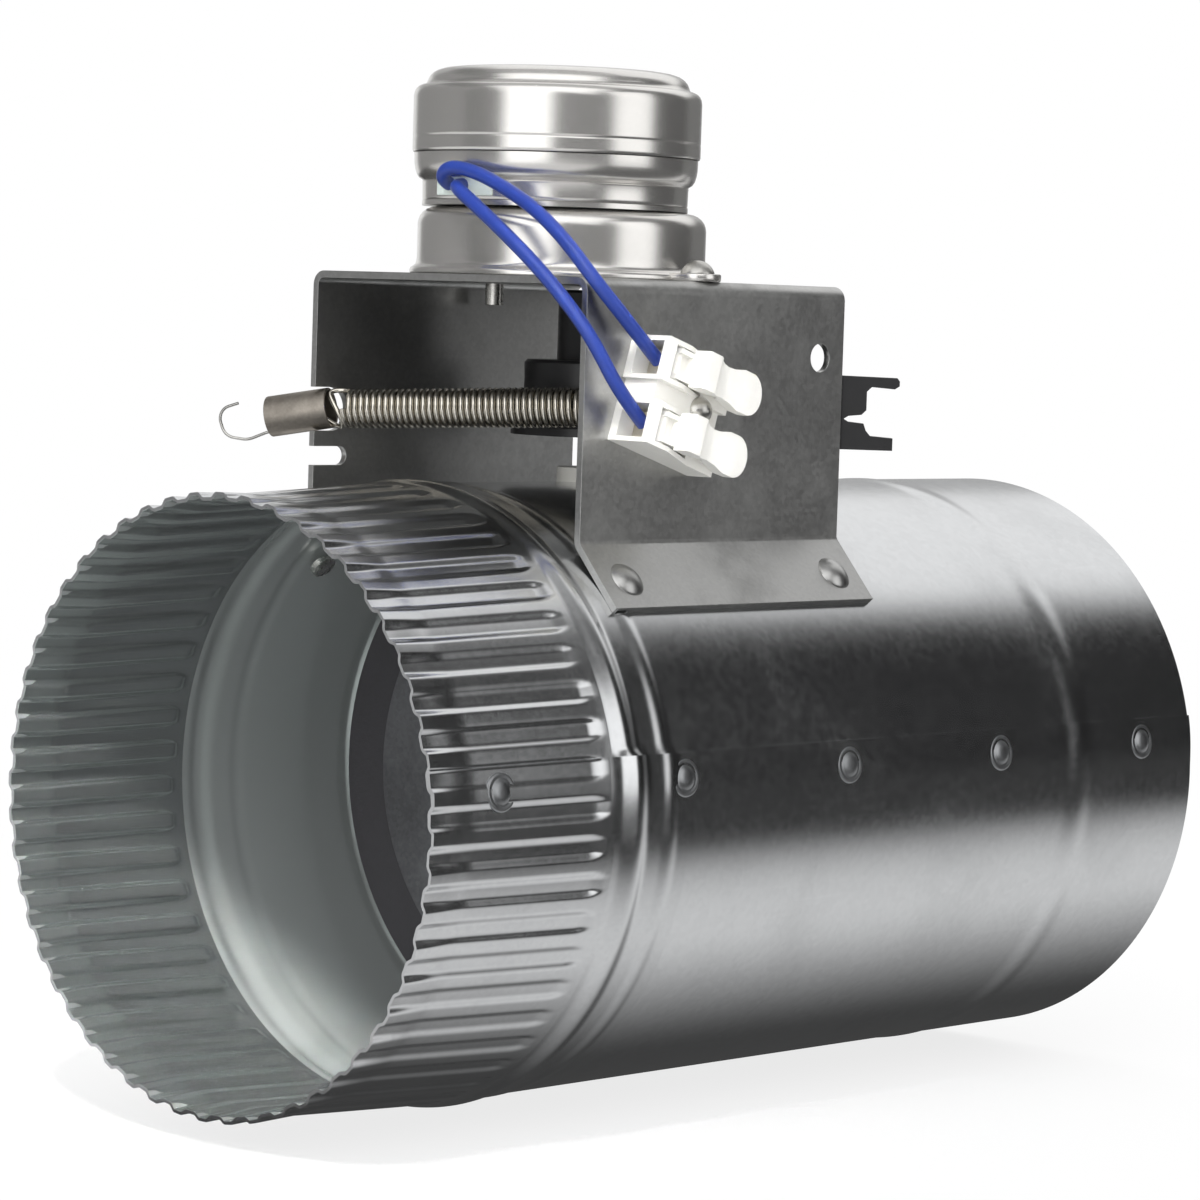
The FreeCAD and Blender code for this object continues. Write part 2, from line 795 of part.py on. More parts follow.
def nearHook(coilEnd):
    """From the coil's end on the drum to an eye round the lever's peg."""
    centre, direction = coilEnd
    x, y = polar(springAxisRadius, armAngle() - pegGap)
    peg = Vec(shaftX + x, y, springDrumZ)
    wire = springWire / 2
    eye = Part.makeTorus(springPostRadius + wire + eyeClearance, wire, peg, zAxis)
    leg = wireTube([centre - direction, peg - direction * (springPostRadius + wire)], [], wire)
    return eye.fuse(leg)


def springBearing():
    """Unit vector out of the bracket along the straight spring, with the sleeve's droop."""
    x, y = polar(springAxisRadius, springTangent())
    outward = (anchorPoint() - Vec(shaftX + x, y, springDrumZ))
    outward.z = 0
    outward.normalize()
    outward.z = -math.tan(math.radians(sleeveDroop))
    return outward.normalize()


def anchorSleeve():
    axis = springBearing()
    start = anchorPoint() - axis * sleeveInside
    return tube(sleeveRadius, sleeveBore, sleeveLength, start, axis)


def tieWire():
    """A thin wire tail that leaves the sleeve's bore and curls back up."""
    axis = springBearing()
    side = zAxis.cross(axis).normalize()
    up = axis.cross(side).normalize()
    low = sleeveBore - tieWireRadius - hookGap
    mouth = anchorPoint() + axis * (sleeveLength - sleeveInside) - up * low
    points = [mouth - axis * tieWireInside]
    points += [mouth + axis * out + up * rise for out, rise in tieWireCurl]
    return wireTube(points, tieWireBends, tieWireRadius)


# Motor

def earPlaces():
    for angle in earAngles:
        x, y = polar(earReach, angle)
        yield Vec(motorX + x, y, bracketTop)


def gearHousing():
    """A drawn cup with an open top, a foot flange and two screw ears."""
    z = bracketTop
    bore = housingRadius - housingWall
    rim = midPlateRadius - housingRim
    shoulder = housingTop - housingShoulder
    cup = turned([(0, z), (flangeRadius, z), (flangeRadius, z + flangeThickness - housingEdge),
                  (housingRadius + housingEdge, z + flangeThickness),
                  (housingRadius, z + flangeThickness + housingFoot), (housingRadius, shoulder),
                  (housingRadius - housingEdge, housingTop - housingEdge),
                  (housingRadius - housingShoulder, housingTop), (rim, housingTop),
                  (rim, housingTop - housingWall), (bore - housingEdge, shoulder),
                  (bore, shoulder - housingEdge), (bore, z + housingWall), (0, z + housingWall)], motorX)
    ears = []
    holes = [cylinder(outputShaftRadius + runClearance, cutReach, Vec(shaftX, 0, z - 1))]
    for ear in earPlaces():
        inward = (Vec(motorX, 0, z) - ear).normalize()
        web = block((0, -earRadius, 0), (2 * earRadius, earRadius, flangeThickness))
        web.rotate(Vec(0, 0, 0), zAxis, math.degrees(math.atan2(inward.y, inward.x)))
        web.translate(ear)
        web = web.cut(cylinder(bore, cutReach, Vec(motorX, 0, z - 1)))
        ears.append(cylinder(earRadius, flangeThickness, ear).fuse(web))
        holes.append(cylinder(motorScrewRadius, cutReach, ear - zAxis))
    holes.append(cylinder(clusterPinRadius, cutReach, Vec(*clusterCentre(), z - 1)))
    return cup.fuse(ears).cut(holes).removeSplitter()


def motorScrews():
    return Part.makeCompound([panHead(motorScrewHead, motorScrewHeadHeight, motorScrewRadius,
                                      motorScrewLength, ear + zAxis * flangeThickness, zAxis)
                              for ear in earPlaces()])


def midPlate():
    plate = cylinder(midPlateRadius, midPlateThickness, Vec(statorX, 0, housingTop))
    under = housingTop - 1
    journal = outputShaftRadius - journalStep + runClearance
    holes = [cylinder(rotorShaftRadius + runClearance, cutReach, Vec(statorX, 0, under)),
             cylinder(clusterPinRadius, cutReach, Vec(*clusterCentre(), under)),
             cylinder(journal, cutReach, Vec(shaftX, 0, under))]
    return plate.cut(holes)


def windowCutter(outer, inner, halfAngle, low, high):
    """A wedge of ring facing the crimped end, between two heights."""
    ring = tube(outer, inner, high - low, Vec(statorX, 0, low))
    far = 2 * outer
    x, y = polar(far, halfAngle)
    wedge = Part.Face(Part.makePolygon([Vec(statorX, 0, low), Vec(statorX - x, y, low),
                                        Vec(statorX - x, -y, low), Vec(statorX, 0, low)]))
    return ring.common(wedge.extrude(zAxis * (high - low)))


def motorBand():
    """The straight band with the lead window and the flare that the can sits on."""
    z = midTop
    wall = canWall
    straightTop = z + bandStraight
    flareTop = straightTop + bandFlareRun
    band = turned([(bandRadius, z), (bandRadius, straightTop), (bandRadius + bandFlare, flareTop),
                   (bandTopRadius, bandTop), (bandTopRadius - wall, bandTop),
                   (bandRadius + bandFlare - wall, flareTop + wall / 2),
                   (bandRadius - wall, straightTop), (bandRadius - wall, z)], statorX)
    low = z + windowBase
    return band.cut(windowCutter(bandRadius + windowDepth, bandRadius - windowDepth, windowHalfAngle,
                                 low, low + windowHeight))


def leadBush():
    """The moulded insert that fills the window; the leads leave its face."""
    low = midTop + windowBase + windowFit
    high = midTop + windowBase + windowHeight - windowFit
    return windowCutter(bandRadius + bushSeat, bandRadius - bushDepth, windowHalfAngle - windowFitAngle,
                        low, high)


def motorCan():
    """The top cup: a straight wall, a rounded shoulder and a lower dome."""
    z = bandTop
    crown = canTop + domeHeight
    flat = domeRadius - 2 * domeShoulder
    outer = [(canRadius, z), (canRadius, canTop - canShoulder), (canRadius - canEdge, canTop - canEdge),
             (canRadius - canShoulder, canTop), (domeRadius, canTop), (domeRadius, canTop + domeFoot),
             (domeRadius - domeShoulder / 3, canTop + domeHeight * 2 / 3),
             (domeRadius - domeShoulder, crown - canEdge), (flat, crown), (0, crown)]
    inner = [(0, crown - canWall), (flat, crown - canWall),
             (domeRadius - domeShoulder, canTop + domeFoot),
             (domeRadius - domeShoulder / 2, canTop - canWall),
             (canRadius - canWall, canTop - canShoulder - canEdge), (canRadius - canWall, z)]
    return turned(outer + inner, statorX)


# Motor internals

def clusterCentre():
    """Where the two meshes' centre distances meet, between the rotor and the output shaft."""
    toRotor = toothModule * (clusterGearTeeth + pinionTeeth) / 2
    toOutput = toothModule * (outputTeeth + pinionTeeth) / 2
    base = shaftX - statorX
    along = (toRotor ** 2 - toOutput ** 2 + base ** 2) / (2 * base)
    aside = math.sqrt(toRotor ** 2 - along ** 2)
    return statorX + along, aside


def meshTurn(centre, teeth, other, otherTeeth, otherTurn):
    """Angle that puts a gap of one gear on the other's tooth along their line of centres."""
    bearing = math.degrees(math.atan2(other[1] - centre[1], other[0] - centre[0]))
    pitch = 360 / teeth
    otherPitch = 360 / otherTeeth
    phase = ((bearing + 180 - otherTurn) / otherPitch) % 1
    return bearing - pitch * (0.5 - phase)


def turnedGear(teeth, thickness, centre, z, turn):
    wheel = gear(teeth, thickness, Vec(centre[0], centre[1], z))
    wheel.rotate(Vec(centre[0], centre[1], 0), zAxis, turn)
    return wheel


def outputGear():
    """The last wheel with the output shaft that reaches down into the lever's neck."""
    z = bracketTop + housingWall + gearLift
    wheel = turnedGear(outputTeeth, gearThickness, (shaftX, 0), z, 0)
    low = drumTop - outputShaftDrop
    shaft = cylinder(outputShaftRadius, z + gearThickness + 1 - low, Vec(shaftX, 0, low))
    journal = cylinder(outputShaftRadius - journalStep, midTop - z, Vec(shaftX, 0, z))
    return wheel.fuse(shaft).fuse(journal).removeSplitter()


def clusterGear():
    z = bracketTop + housingWall + gearLift
    centre = clusterCentre()
    turn = meshTurn(centre, pinionTeeth, (shaftX, 0), outputTeeth, 0)
    upper = z + gearThickness + gearStep
    small = turnedGear(pinionTeeth, gearThickness + gearStep, centre, z, turn)
    large = turnedGear(clusterGearTeeth, gearThickness, centre, upper, turn)
    bore = cylinder(clusterPinRadius + runClearance, cutReach, Vec(centre[0], centre[1], z - 1))
    return small.fuse(large).cut(bore).removeSplitter()


def clusterPin():
    return cylinder(clusterPinRadius, midTop - bracketTop,
                    Vec(*clusterCentre(), bracketTop))


def rotor():
    """The magnet on its spindle with the first pinion below the mid plate."""
    gearZ = bracketTop + housingWall + gearLift + gearThickness + gearStep
    centre = clusterCentre()
    clusterTurn = meshTurn(centre, pinionTeeth, (shaftX, 0), outputTeeth, 0)
    turn = meshTurn((statorX, 0), pinionTeeth, centre, clusterGearTeeth, clusterTurn)
    pinion = turnedGear(pinionTeeth, gearThickness, (statorX, 0), gearZ, turn)
    low = bobbinBase() + motorGap
    high = bobbinTop() - motorGap
    spindle = cylinder(rotorShaftRadius, high + poleThickness + 1 - gearZ, Vec(statorX, 0, gearZ))
    magnet = cylinder(rotorRadius, high - low, Vec(statorX, 0, low))
    return magnet.fuse(spindle).fuse(pinion).removeSplitter()


def bobbinBase():
    return midTop + poleThickness


def bobbinTop():
    return bobbinBase() + coilHeight + 2 * bobbinFlange


def lowerPole():
    ring = cylinder(poleRadius, poleThickness, Vec(statorX, 0, midTop))
    return ring.cut(cylinder(2 * rotorShaftRadius, cutReach, Vec(statorX, 0, midTop - 1)))


def bobbin():
    z = bobbinBase()
    top = bobbinTop()
    outline = [(bobbinBore, z), (coilOuter, z), (coilOuter, z + bobbinFlange), (coilInner, z + bobbinFlange),
               (coilInner, top - bobbinFlange), (coilOuter, top - bobbinFlange), (coilOuter, top),
               (bobbinBore, top)]
    return turned(outline, statorX)


def statorCoil():
    return tube(coilOuter - 0.4, coilInner, coilHeight, Vec(statorX, 0, bobbinBase() + bobbinFlange))


def upperPole():
    """The stator's top plate with the rotor's upper bearing."""
    z = bobbinTop()
    plate = cylinder(poleRadius, poleThickness, Vec(statorX, 0, z))
    boss = cylinder(3 * rotorShaftRadius, poleBoss, Vec(statorX, 0, z))
    bore = cylinder(rotorShaftRadius + runClearance, cutReach, Vec(statorX, 0, z - 1))
    return plate.fuse(boss).cut(bore)


# Lever terminal; drawn lying flat with X along the poles, Y across them and Z off the plate

def terminalPlace(shape):
    turn = math.radians(terminalTurn)
    along = Vec(math.cos(turn), 0, -math.sin(turn))
    across = Vec(math.sin(turn), 0, math.cos(turn))
    rotation = FreeCAD.Rotation(along, across, Vec(0, -1, 0), "XYZ")
    origin = Vec(rimX + terminalX, -halfWidth, terminalZ)
    placed = shape.copy()
    placed.Placement = FreeCAD.Placement(origin, rotation).multiply(placed.Placement)
    return placed


def polesAcross():
    return poleWidth / 2, poleWidth / 2 + polePitch


def terminalScrewSpot(depth):
    return Vec(terminalScrewAlong, poleWidth / 2 + polePitch / 2, depth)


def terminalBody():
    """Two walled poles on a common web; each has a conductor window, a deck and a sloped tail."""
    side = [(0, 0), (terminalLength, 0), (terminalLength, tailDepth), (pocketEnd + 1, tailDepth + 0.4),
            (deckSlopeStart, terminalDepth), (0, terminalDepth)]
    poles = []
    pockets = []
    for across in polesAcross():
        low = across - poleWidth / 2
        points = [Vec(x, low, z) for x, z in side]
        poles.append(Part.Face(Part.makePolygon(points + [points[0]])).extrude(yAxis * poleWidth))
        inner = poleWidth / 2 - poleWall
        deckUnder = terminalDepth - poleDeck
        pockets.append(block((-1, across - inner, poleFloor), (pocketEnd, across + inner, deckUnder)))
        pockets.append(block((deckLength, across - inner, poleFloor),
                             (pocketEnd, across + inner, terminalDepth + 1)))
        socket = inner + pinReach
        pockets.append(cylinder(trunnionRadius + runClearance, 2 * socket,
                                Vec(trunnionAlong, across - socket, trunnionDepth), yAxis))
    deck = terminalScrewAlong + terminalScrewHead + terminalScrewFit
    webEnd = terminalLength - webSetback
    outline = [(webSetback, 0), (webEnd, 0), (webEnd, tailDepth - 1), (deck, tailDepth - 1),
               (deck, webDepth), (webSetback, webDepth)]
    low = poleWidth - poleWall / 2
    points = [Vec(x, low, z) for x, z in outline]
    web = Part.Face(Part.makePolygon(points + [points[0]]))
    web = web.extrude(yAxis * (polePitch + poleWidth - 2 * low))
    through = 2 * terminalDepth
    pockets.append(cylinder(terminalScrewRadius, through, terminalScrewSpot(-1)))
    pockets.append(cylinder(terminalScrewHead + terminalScrewFit, through, terminalScrewSpot(webDepth)))
    return terminalPlace(poles[0].fuse([poles[1], web]).cut(pockets).removeSplitter())


def leverProfile():
    """The lever's side view: block, concave neck, flat thumb pad and the underside."""
    crownEnd = leverStart + leverCrown
    padTop = terminalDepth + leverPadTop
    padEnd = leverPadAlong + leverPadRadius
    neckTop = (leverDepth + padTop) / 2
    return [(leverStart, trunnionDepth - leverNose), (leverStart, leverDepth - leverEdge),
            (leverStart + leverEdge, leverDepth), (crownEnd, leverDepth),
            (crownEnd + 2 * leverEdge, leverDepth - leverEdge),
            (crownEnd + leverCrown / 2, neckTop), (crownEnd + leverCrown, padTop + leverEdge),
            (leverWaistAlong + 1, padTop), (leverPadAlong, padTop), (padEnd, padTop - leverEdge),
            (padEnd, terminalDepth), (leverPadAlong - leverPadFlat, terminalDepth - leverPadUnder),
            (pocketEnd + leverEdge, terminalDepth - leverEdge),
            (pocketEnd - 2 * leverEdge, terminalDepth - 1.0), (leverStart + leverEdge, terminalDepth - 2.0)]


def leverPlan(across):
    """The lever from above, without the pad's round end: block, waist and the pad's flanks."""
    blockEnd = leverStart + leverCrown
    padStart = leverPadAlong - leverPadFlat
    flare = (leverWaistAlong + padStart) / 2
    half = [(leverStart, leverHalfWidth), (blockEnd, leverHalfWidth), (leverWaistAlong, leverWaist),
            (flare, leverWaist + leverEdge / 2), (padStart, leverPadRadius),
            (leverPadAlong, leverPadRadius)]
    points = [Vec(x, across - y, 0) for x, y in half]
    points += [Vec(x, across + y, 0) for x, y in reversed(half)]
    plan = Part.Face(Part.makePolygon(points + [points[0]])).extrude(zAxis * terminalLength)
    return plan.fuse(cylinder(leverPadRadius, terminalLength, Vec(leverPadAlong, across, 0)))


def terminalLever(across):
    """A push lever: trunnion with two ears, raised block, waist and round thumb pad."""
    points = [Vec(x, across - poleWidth, z) for x, z in leverProfile()]
    body = Part.Face(Part.makePolygon(points + [points[0]])).extrude(yAxis * 2 * poleWidth)
    high = terminalLength
    side = poleWidth
    inPocket = poleWidth / 2 - poleWall - leverFit
    throat = block((leverStart, across - inPocket, 0), (pocketEnd - leverFit, across + inPocket, high))
    above = block((leverStart, across - side, terminalDepth + leverLift),
                  (pocketEnd + leverPadFlat, across + side, high))
    tail = block((pocketEnd + leverPadFlat / 2, across - side, tailDepth), (2 * high, across + side, high))
    upper = body.common(leverPlan(across)).common(above.fuse(tail))
    nose = block((trunnionAlong - leverNose, across - inPocket, trunnionDepth - leverNose),
                 (leverStart + leverNose, across + inPocket, trunnionDepth + leverNose / 3))
    pieces = [body.common(throat), nose]
    for edge in (-inPocket, inPocket - leverEarWidth):
        pieces.append(block((trunnionAlong - leverNose, across + edge, trunnionDepth),
                            (leverStart + leverNose, across + edge + leverEarWidth,
                             terminalDepth + leverEarTop)))
    pinHalf = poleWidth / 2 - poleWall + pinReach - pinEndGap
    pieces.append(cylinder(trunnionRadius, 2 * pinHalf,
                           Vec(trunnionAlong, across - pinHalf, trunnionDepth), yAxis))
    return terminalPlace(upper.fuse(pieces).removeSplitter())


def contactClips():
    """A spring strip in each pole: a base on the floor, a stop plate and a leaf towards the deck."""
    clips = []
    for across in polesAcross():
        low = across - contactWidth / 2
        base = poleFloor + contactSheet
        points = [Vec(contactStop, low, contactRise), Vec(contactStop, low, base),
                  Vec(contactEnd, low, base), Vec(contactEnd - contactLean, low, contactRise)]
        clips.append(bentSheet(points, yAxis, contactSheet, contactBend, contactWidth))
    return terminalPlace(Part.makeCompound(clips))


def terminalScrew():
    screw = panHead(terminalScrewHead, terminalScrewHeadHeight, terminalScrewRadius, terminalScrewLength,
                    terminalScrewSpot(webDepth), zAxis)
    return terminalPlace(screw)


# Leads

def leadRoutes():
    """Each lead's route by hand, from the motor's window to its pole's stop plate."""
    upper = [(50.7, 2.2, 99.8), (48.1, 1.5, 100.5), (47.3, -0.5, 102.3), (47.9, -3.6, 102.3),
             (48.4, -7.9, 101.1), (48.3, -13.9, 98.7), (47.9, -20.4, 95.7), (47.3, -27.6, 91.0),
             (48.3, -33.7, 84.5), (54.2, -36.2, 77.6)]
    lower = [(50.58, -0.9, 99.6), (48.3, -1.6, 99.5), (46.3, -4.9, 98.4), (45.0, -10.9, 95.4),
             (44.4, -17.0, 91.8), (44.9, -23.4, 87.0), (46.3, -29.2, 81.3), (47.8, -34.0, 75.2),
             (52.3, -36.4, 66.4)]
    low, high = polesAcross()
    return {"upper_lead": routePoints(upper, high), "lower_lead": routePoints(lower, low)}


def routePoints(route, across):
    """The route's points, ended in front of the stop plate of the pole at that height."""
    end = terminalPlace(Part.Vertex(Vec(contactStop - contactSheet - leadFit, across, leadDepth)))
    return [Vec(rimX + x, y, z) for x, y, z in route] + [end.Point]


def lead(name, route):
    points = route
    radii = []
    for index in range(1, len(points) - 1):
        before = points[index] - points[index - 1]
        after = points[index + 1] - points[index]
        halfTurn = before.getAngle(after) / 2
        radii.append(leadBendShare * min(before.Length, after.Length) / math.tan(halfTurn))
    solid = wireTube(points, radii, leadRadius)
    path = Part.Wire(roundedPath(points, radii))
    expected = math.pi * leadRadius ** 2 * path.Length
    print(name, "length", round(path.Length, 1), "radii", [round(r, 1) for r in radii],
          "volume ratio", round(solid.Volume / expected, 4))
    return solid


def main():
    os.makedirs("parts", exist_ok=True)
    poles = polesAcross()
    pieces = {
        "duct_shell": ductShell, "seam_buttons": seamButtons, "motor_bracket": motorBracket,
        "bracket_rivets": bracketRivets, "upper_bushing": upperBushing, "lower_bushing": lowerBushing,
        "blade_front_plate": bladeFrontPlate, "blade_gasket": bladeGasket,
        "blade_back_plate": bladeBackPlate,
        "blade_shaft": bladeShaft, "blade_screws": bladeScrews, "drive_lever": driveLever,
        "lever_set_screw": leverSetScrew, "return_spring": returnSpring, "anchor_sleeve": anchorSleeve,
        "tie_wire": tieWire, "gear_housing": gearHousing, "motor_screws": motorScrews, "mid_plate": midPlate,
        "motor_band": motorBand, "lead_bush": leadBush, "motor_can": motorCan, "output_gear": outputGear,
        "cluster_gear": clusterGear, "cluster_pin": clusterPin, "rotor": rotor,
        "lower_pole_plate": lowerPole,
        "bobbin": bobbin, "stator_coil": statorCoil, "upper_pole_plate": upperPole,
        "terminal_body": terminalBody, "contact_clips": contactClips, "terminal_screw": terminalScrew,
    }
    for node, make in pieces.items():
        save(make(), node)
    save(terminalLever(poles[1]), "upper_terminal_lever")
    save(terminalLever(poles[0]), "lower_terminal_lever")
    for name, route in leadRoutes().items():
        save(lead(name, route), name)


main()
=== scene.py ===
import bmesh
import bpy
import math
from mathutils import Matrix, Vector


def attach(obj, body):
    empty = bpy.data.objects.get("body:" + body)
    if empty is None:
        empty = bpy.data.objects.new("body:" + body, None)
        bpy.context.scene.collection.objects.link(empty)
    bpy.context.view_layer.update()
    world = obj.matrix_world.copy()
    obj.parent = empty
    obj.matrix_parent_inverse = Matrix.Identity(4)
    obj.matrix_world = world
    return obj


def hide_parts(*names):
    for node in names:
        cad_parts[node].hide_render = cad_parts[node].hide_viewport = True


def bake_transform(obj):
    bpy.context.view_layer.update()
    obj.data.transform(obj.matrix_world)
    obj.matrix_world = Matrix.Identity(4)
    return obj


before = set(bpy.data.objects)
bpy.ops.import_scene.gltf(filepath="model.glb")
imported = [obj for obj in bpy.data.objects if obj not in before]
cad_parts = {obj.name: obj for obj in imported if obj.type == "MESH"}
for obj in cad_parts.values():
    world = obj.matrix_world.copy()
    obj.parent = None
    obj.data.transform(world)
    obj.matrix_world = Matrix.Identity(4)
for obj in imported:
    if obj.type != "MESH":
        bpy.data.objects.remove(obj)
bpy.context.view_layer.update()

mm = 0.001
rimX = -190.5  # the crimped rim, in millimetres from the plain mouth
shaftX = 87.0  # the blade's shaft, in millimetres behind the crimped rim
mergeReach = 2e-6  # points nearer than this, in metres, become one


# A place in metres, from millimetres with x behind the crimped rim
def at(x, y, z):
    return Vector(((x + rimX) * mm, y * mm, z * mm))


# Puts data in the scene as an object
def placed(name, data):
    item = bpy.data.objects.new(name, data)
    bpy.context.scene.collection.objects.link(item)
    return item


# Camera at the photograph's view

cameraView = {"place": (-0.6601, -0.5207, 0.0795), "yaw": 43.05, "pitch": -3.67, "roll": 1.86,
              "lens": 134.31, "sensor": 36.0, "nearest": 0.01}


def makeCamera(view):
    yaw, pitch, roll = (math.radians(view[key]) for key in ("yaw", "pitch", "roll"))
    forward = Vector((math.cos(yaw) * math.cos(pitch), math.sin(yaw) * math.cos(pitch), math.sin(pitch)))
    level = Vector((math.sin(yaw), -math.cos(yaw), 0))
    rise = level.cross(forward)
    right = level * math.cos(roll) + rise * math.sin(roll)
    up = rise * math.cos(roll) - level * math.sin(roll)
    data = bpy.data.cameras.new("photoCamera")
    data.lens = view["lens"]
    data.sensor_width = view["sensor"]
    data.clip_start = view["nearest"]
    camera = placed("photoCamera", data)
    facing = Matrix((right, up, -forward)).transposed().to_4x4()
    camera.matrix_world = Matrix.Translation(view["place"]) @ facing
    bpy.context.scene.camera = camera


makeCamera(cameraView)
bpy.context.scene.view_settings.view_transform = "Standard"
print("camera set")


# Small helpers for node trees

def plug(tree, value, socket):
    if isinstance(value, bpy.types.NodeSocket):
        tree.links.new(value, socket)
    elif value is not None:
        socket.default_value = value


def put(tree, kind, links=None, **settings):
    node = tree.nodes.new(kind)
    for key, value in settings.items():
        setattr(node, key, value)
    for key, value in (links or {}).items():
        plug(tree, value, node.inputs[key])
    return node


def calc(tree, operation, *values):
    node = put(tree, "ShaderNodeMath", operation=operation)
    for index, value in enumerate(values):
        plug(tree, value, node.inputs[index])
    return node.outputs[0]


def plus(tree, first, second):
    return calc(tree, "ADD", first, second)


def minus(tree, first, second):
    return calc(tree, "SUBTRACT", first, second)


def times(tree, first, second):
    return calc(tree, "MULTIPLY", first, second)


def span(tree, value, low, high, start=0.0, end=1.0, smooth=True):
    kind = "SMOOTHSTEP" if smooth else "LINEAR"
    node = put(tree, "ShaderNodeMapRange", interpolation_type=kind)
    for index, item in enumerate((value, low, high, start, end)):
        plug(tree, item, node.inputs[index])
    return node.outputs[0]


def newTree(name, kind, inputs, outputs):
    tree = bpy.data.node_groups.new(name, kind)
    for label, socketKind, value in inputs:
        item = tree.interface.new_socket(label, in_out="INPUT", socket_type=socketKind)
        if value is not None:
            item.default_value = value
    for label, socketKind in outputs:
        tree.interface.new_socket(label, in_out="OUTPUT", socket_type=socketKind)
    return tree, tree.nodes.new("NodeGroupInput").outputs, tree.nodes.new("NodeGroupOutput").inputs


# The end of each geometry tree: real geometry in its material
def dressed(tree, geometry, material):
    solid = put(tree, "GeometryNodeRealizeInstances", {"Geometry": geometry}).outputs[0]
    return put(tree, "GeometryNodeSetMaterial", {"Geometry": solid, "Material": material}).outputs[0]


# Shader groups

patternOutputs = [("Color", "NodeSocketColor"), ("Roughness", "NodeSocketFloat"),
                  ("Height", "NodeSocketFloat")]
grainSizes = {"fine": 1400.0, "fineHeight": 0.06, "cloud": 42.0, "cloudHeight": 0.8,
              "drawn": (30.0, 900.0, 900.0), "lineBand": (0.62, 0.75), "lineTone": 0.25,
              "stainBand": (0.45, 0.72), "stainTone": 0.6, "roughShare": 0.5, "leastRough": 0.05}


def noise(tree, place, scale, detail, roughness=0.5):
    return put(tree, "ShaderNodeTexNoise", {"Vector": place, "Scale": scale, "Detail": detail,
                                            "Roughness": roughness}).outputs[0]


# A colour made lighter or darker by a factor
def toned(tree, base, tone):
    mixed = put(tree, "ShaderNodeMix", {"Factor": 1.0}, data_type="RGBA", blend_type="MULTIPLY")
    plug(tree, base, mixed.inputs[6])
    plug(tree, put(tree, "ShaderNodeCombineColor", {0: tone, 1: tone, 2: tone}).outputs[0], mixed.inputs[7])
    return mixed.outputs[2]


# Rolled metal: fine flakes, soft clouds and faint drawn lines, as colour, roughness and height
def grainGroup(sizes):
    tree, given, out = newTree("metalGrain", "ShaderNodeTree", [
        ("Vector", "NodeSocketVector", None), ("Base", "NodeSocketColor", (0.6, 0.6, 0.6, 1)),
        ("Flake Size", "NodeSocketFloat", 260.0), ("Flake Contrast", "NodeSocketFloat", 0.15),
        ("Stain", "NodeSocketFloat", 0.2), ("Roughness", "NodeSocketFloat", 0.35),
        ("Scratches", "NodeSocketFloat", 0.3)], patternOutputs)
    place = given["Vector"]
    flakes = put(tree, "ShaderNodeTexVoronoi", {"Vector": place, "Scale": given["Flake Size"]})
    flakeTone = put(tree, "ShaderNodeSeparateColor", {"Color": flakes.outputs["Color"]}).outputs[0]
    fine = noise(tree, place, sizes["fine"], detail=3.0)
    cloud = noise(tree, place, sizes["cloud"], detail=6.0, roughness=0.65)
    drawn = put(tree, "ShaderNodeMapping", {"Vector": place, "Scale": sizes["drawn"]}).outputs[0]
    lines = span(tree, noise(tree, drawn, 1.0, detail=4.0), *sizes["lineBand"])
    flakeShift = times(tree, minus(tree, flakeTone, 0.5), given["Flake Contrast"])
    fineShift = times(tree, minus(tree, fine, 0.5), given["Flake Contrast"])
    stain = times(tree, span(tree, cloud, *sizes["stainBand"]), given["Stain"])
    tone = plus(tree, 1.0, plus(tree, flakeShift, fineShift))
    tone = minus(tree, tone, times(tree, stain, sizes["stainTone"]))
    tone = plus(tree, tone, times(tree, lines, times(tree, given["Scratches"], sizes["lineTone"])))
    plug(tree, toned(tree, given["Base"], tone), out["Color"])
    rough = plus(tree, given["Roughness"], times(tree, stain, sizes["roughShare"]))
    rough = plus(tree, rough, times(tree, flakeShift, sizes["roughShare"]))
    plug(tree, calc(tree, "MAXIMUM", rough, sizes["leastRough"]), out["Roughness"])
    height = plus(tree, times(tree, cloud, sizes["cloudHeight"]), times(tree, fine, sizes["fineHeight"]))
    plug(tree, height, out["Height"])
    return tree


# Moulded plastic, rubber and even metal: one soft mottle
def mottleGroup():
    tree, given, out = newTree("softMottle", "ShaderNodeTree", [
        ("Vector", "NodeSocketVector", None), ("Base", "NodeSocketColor", (0.6, 0.6, 0.6, 1)),
        ("Scale", "NodeSocketFloat", 300.0), ("Contrast", "NodeSocketFloat", 0.08),
        ("Roughness", "NodeSocketFloat", 0.4)], patternOutputs)
    mottle = noise(tree, given["Vector"], given["Scale"], detail=5.0, roughness=0.6)
    shift = times(tree, minus(tree, mottle, 0.5), given["Contrast"])
    plug(tree, toned(tree, given["Base"], plus(tree, 1.0, shift)), out["Color"])
    plug(tree, plus(tree, given["Roughness"], shift), out["Roughness"])
    plug(tree, mottle, out["Height"])
    return tree


metalGrain = grainGroup(grainSizes)
softMottle = mottleGroup()
bumpReach = 0.0002  # how high a full bump stands, in metres


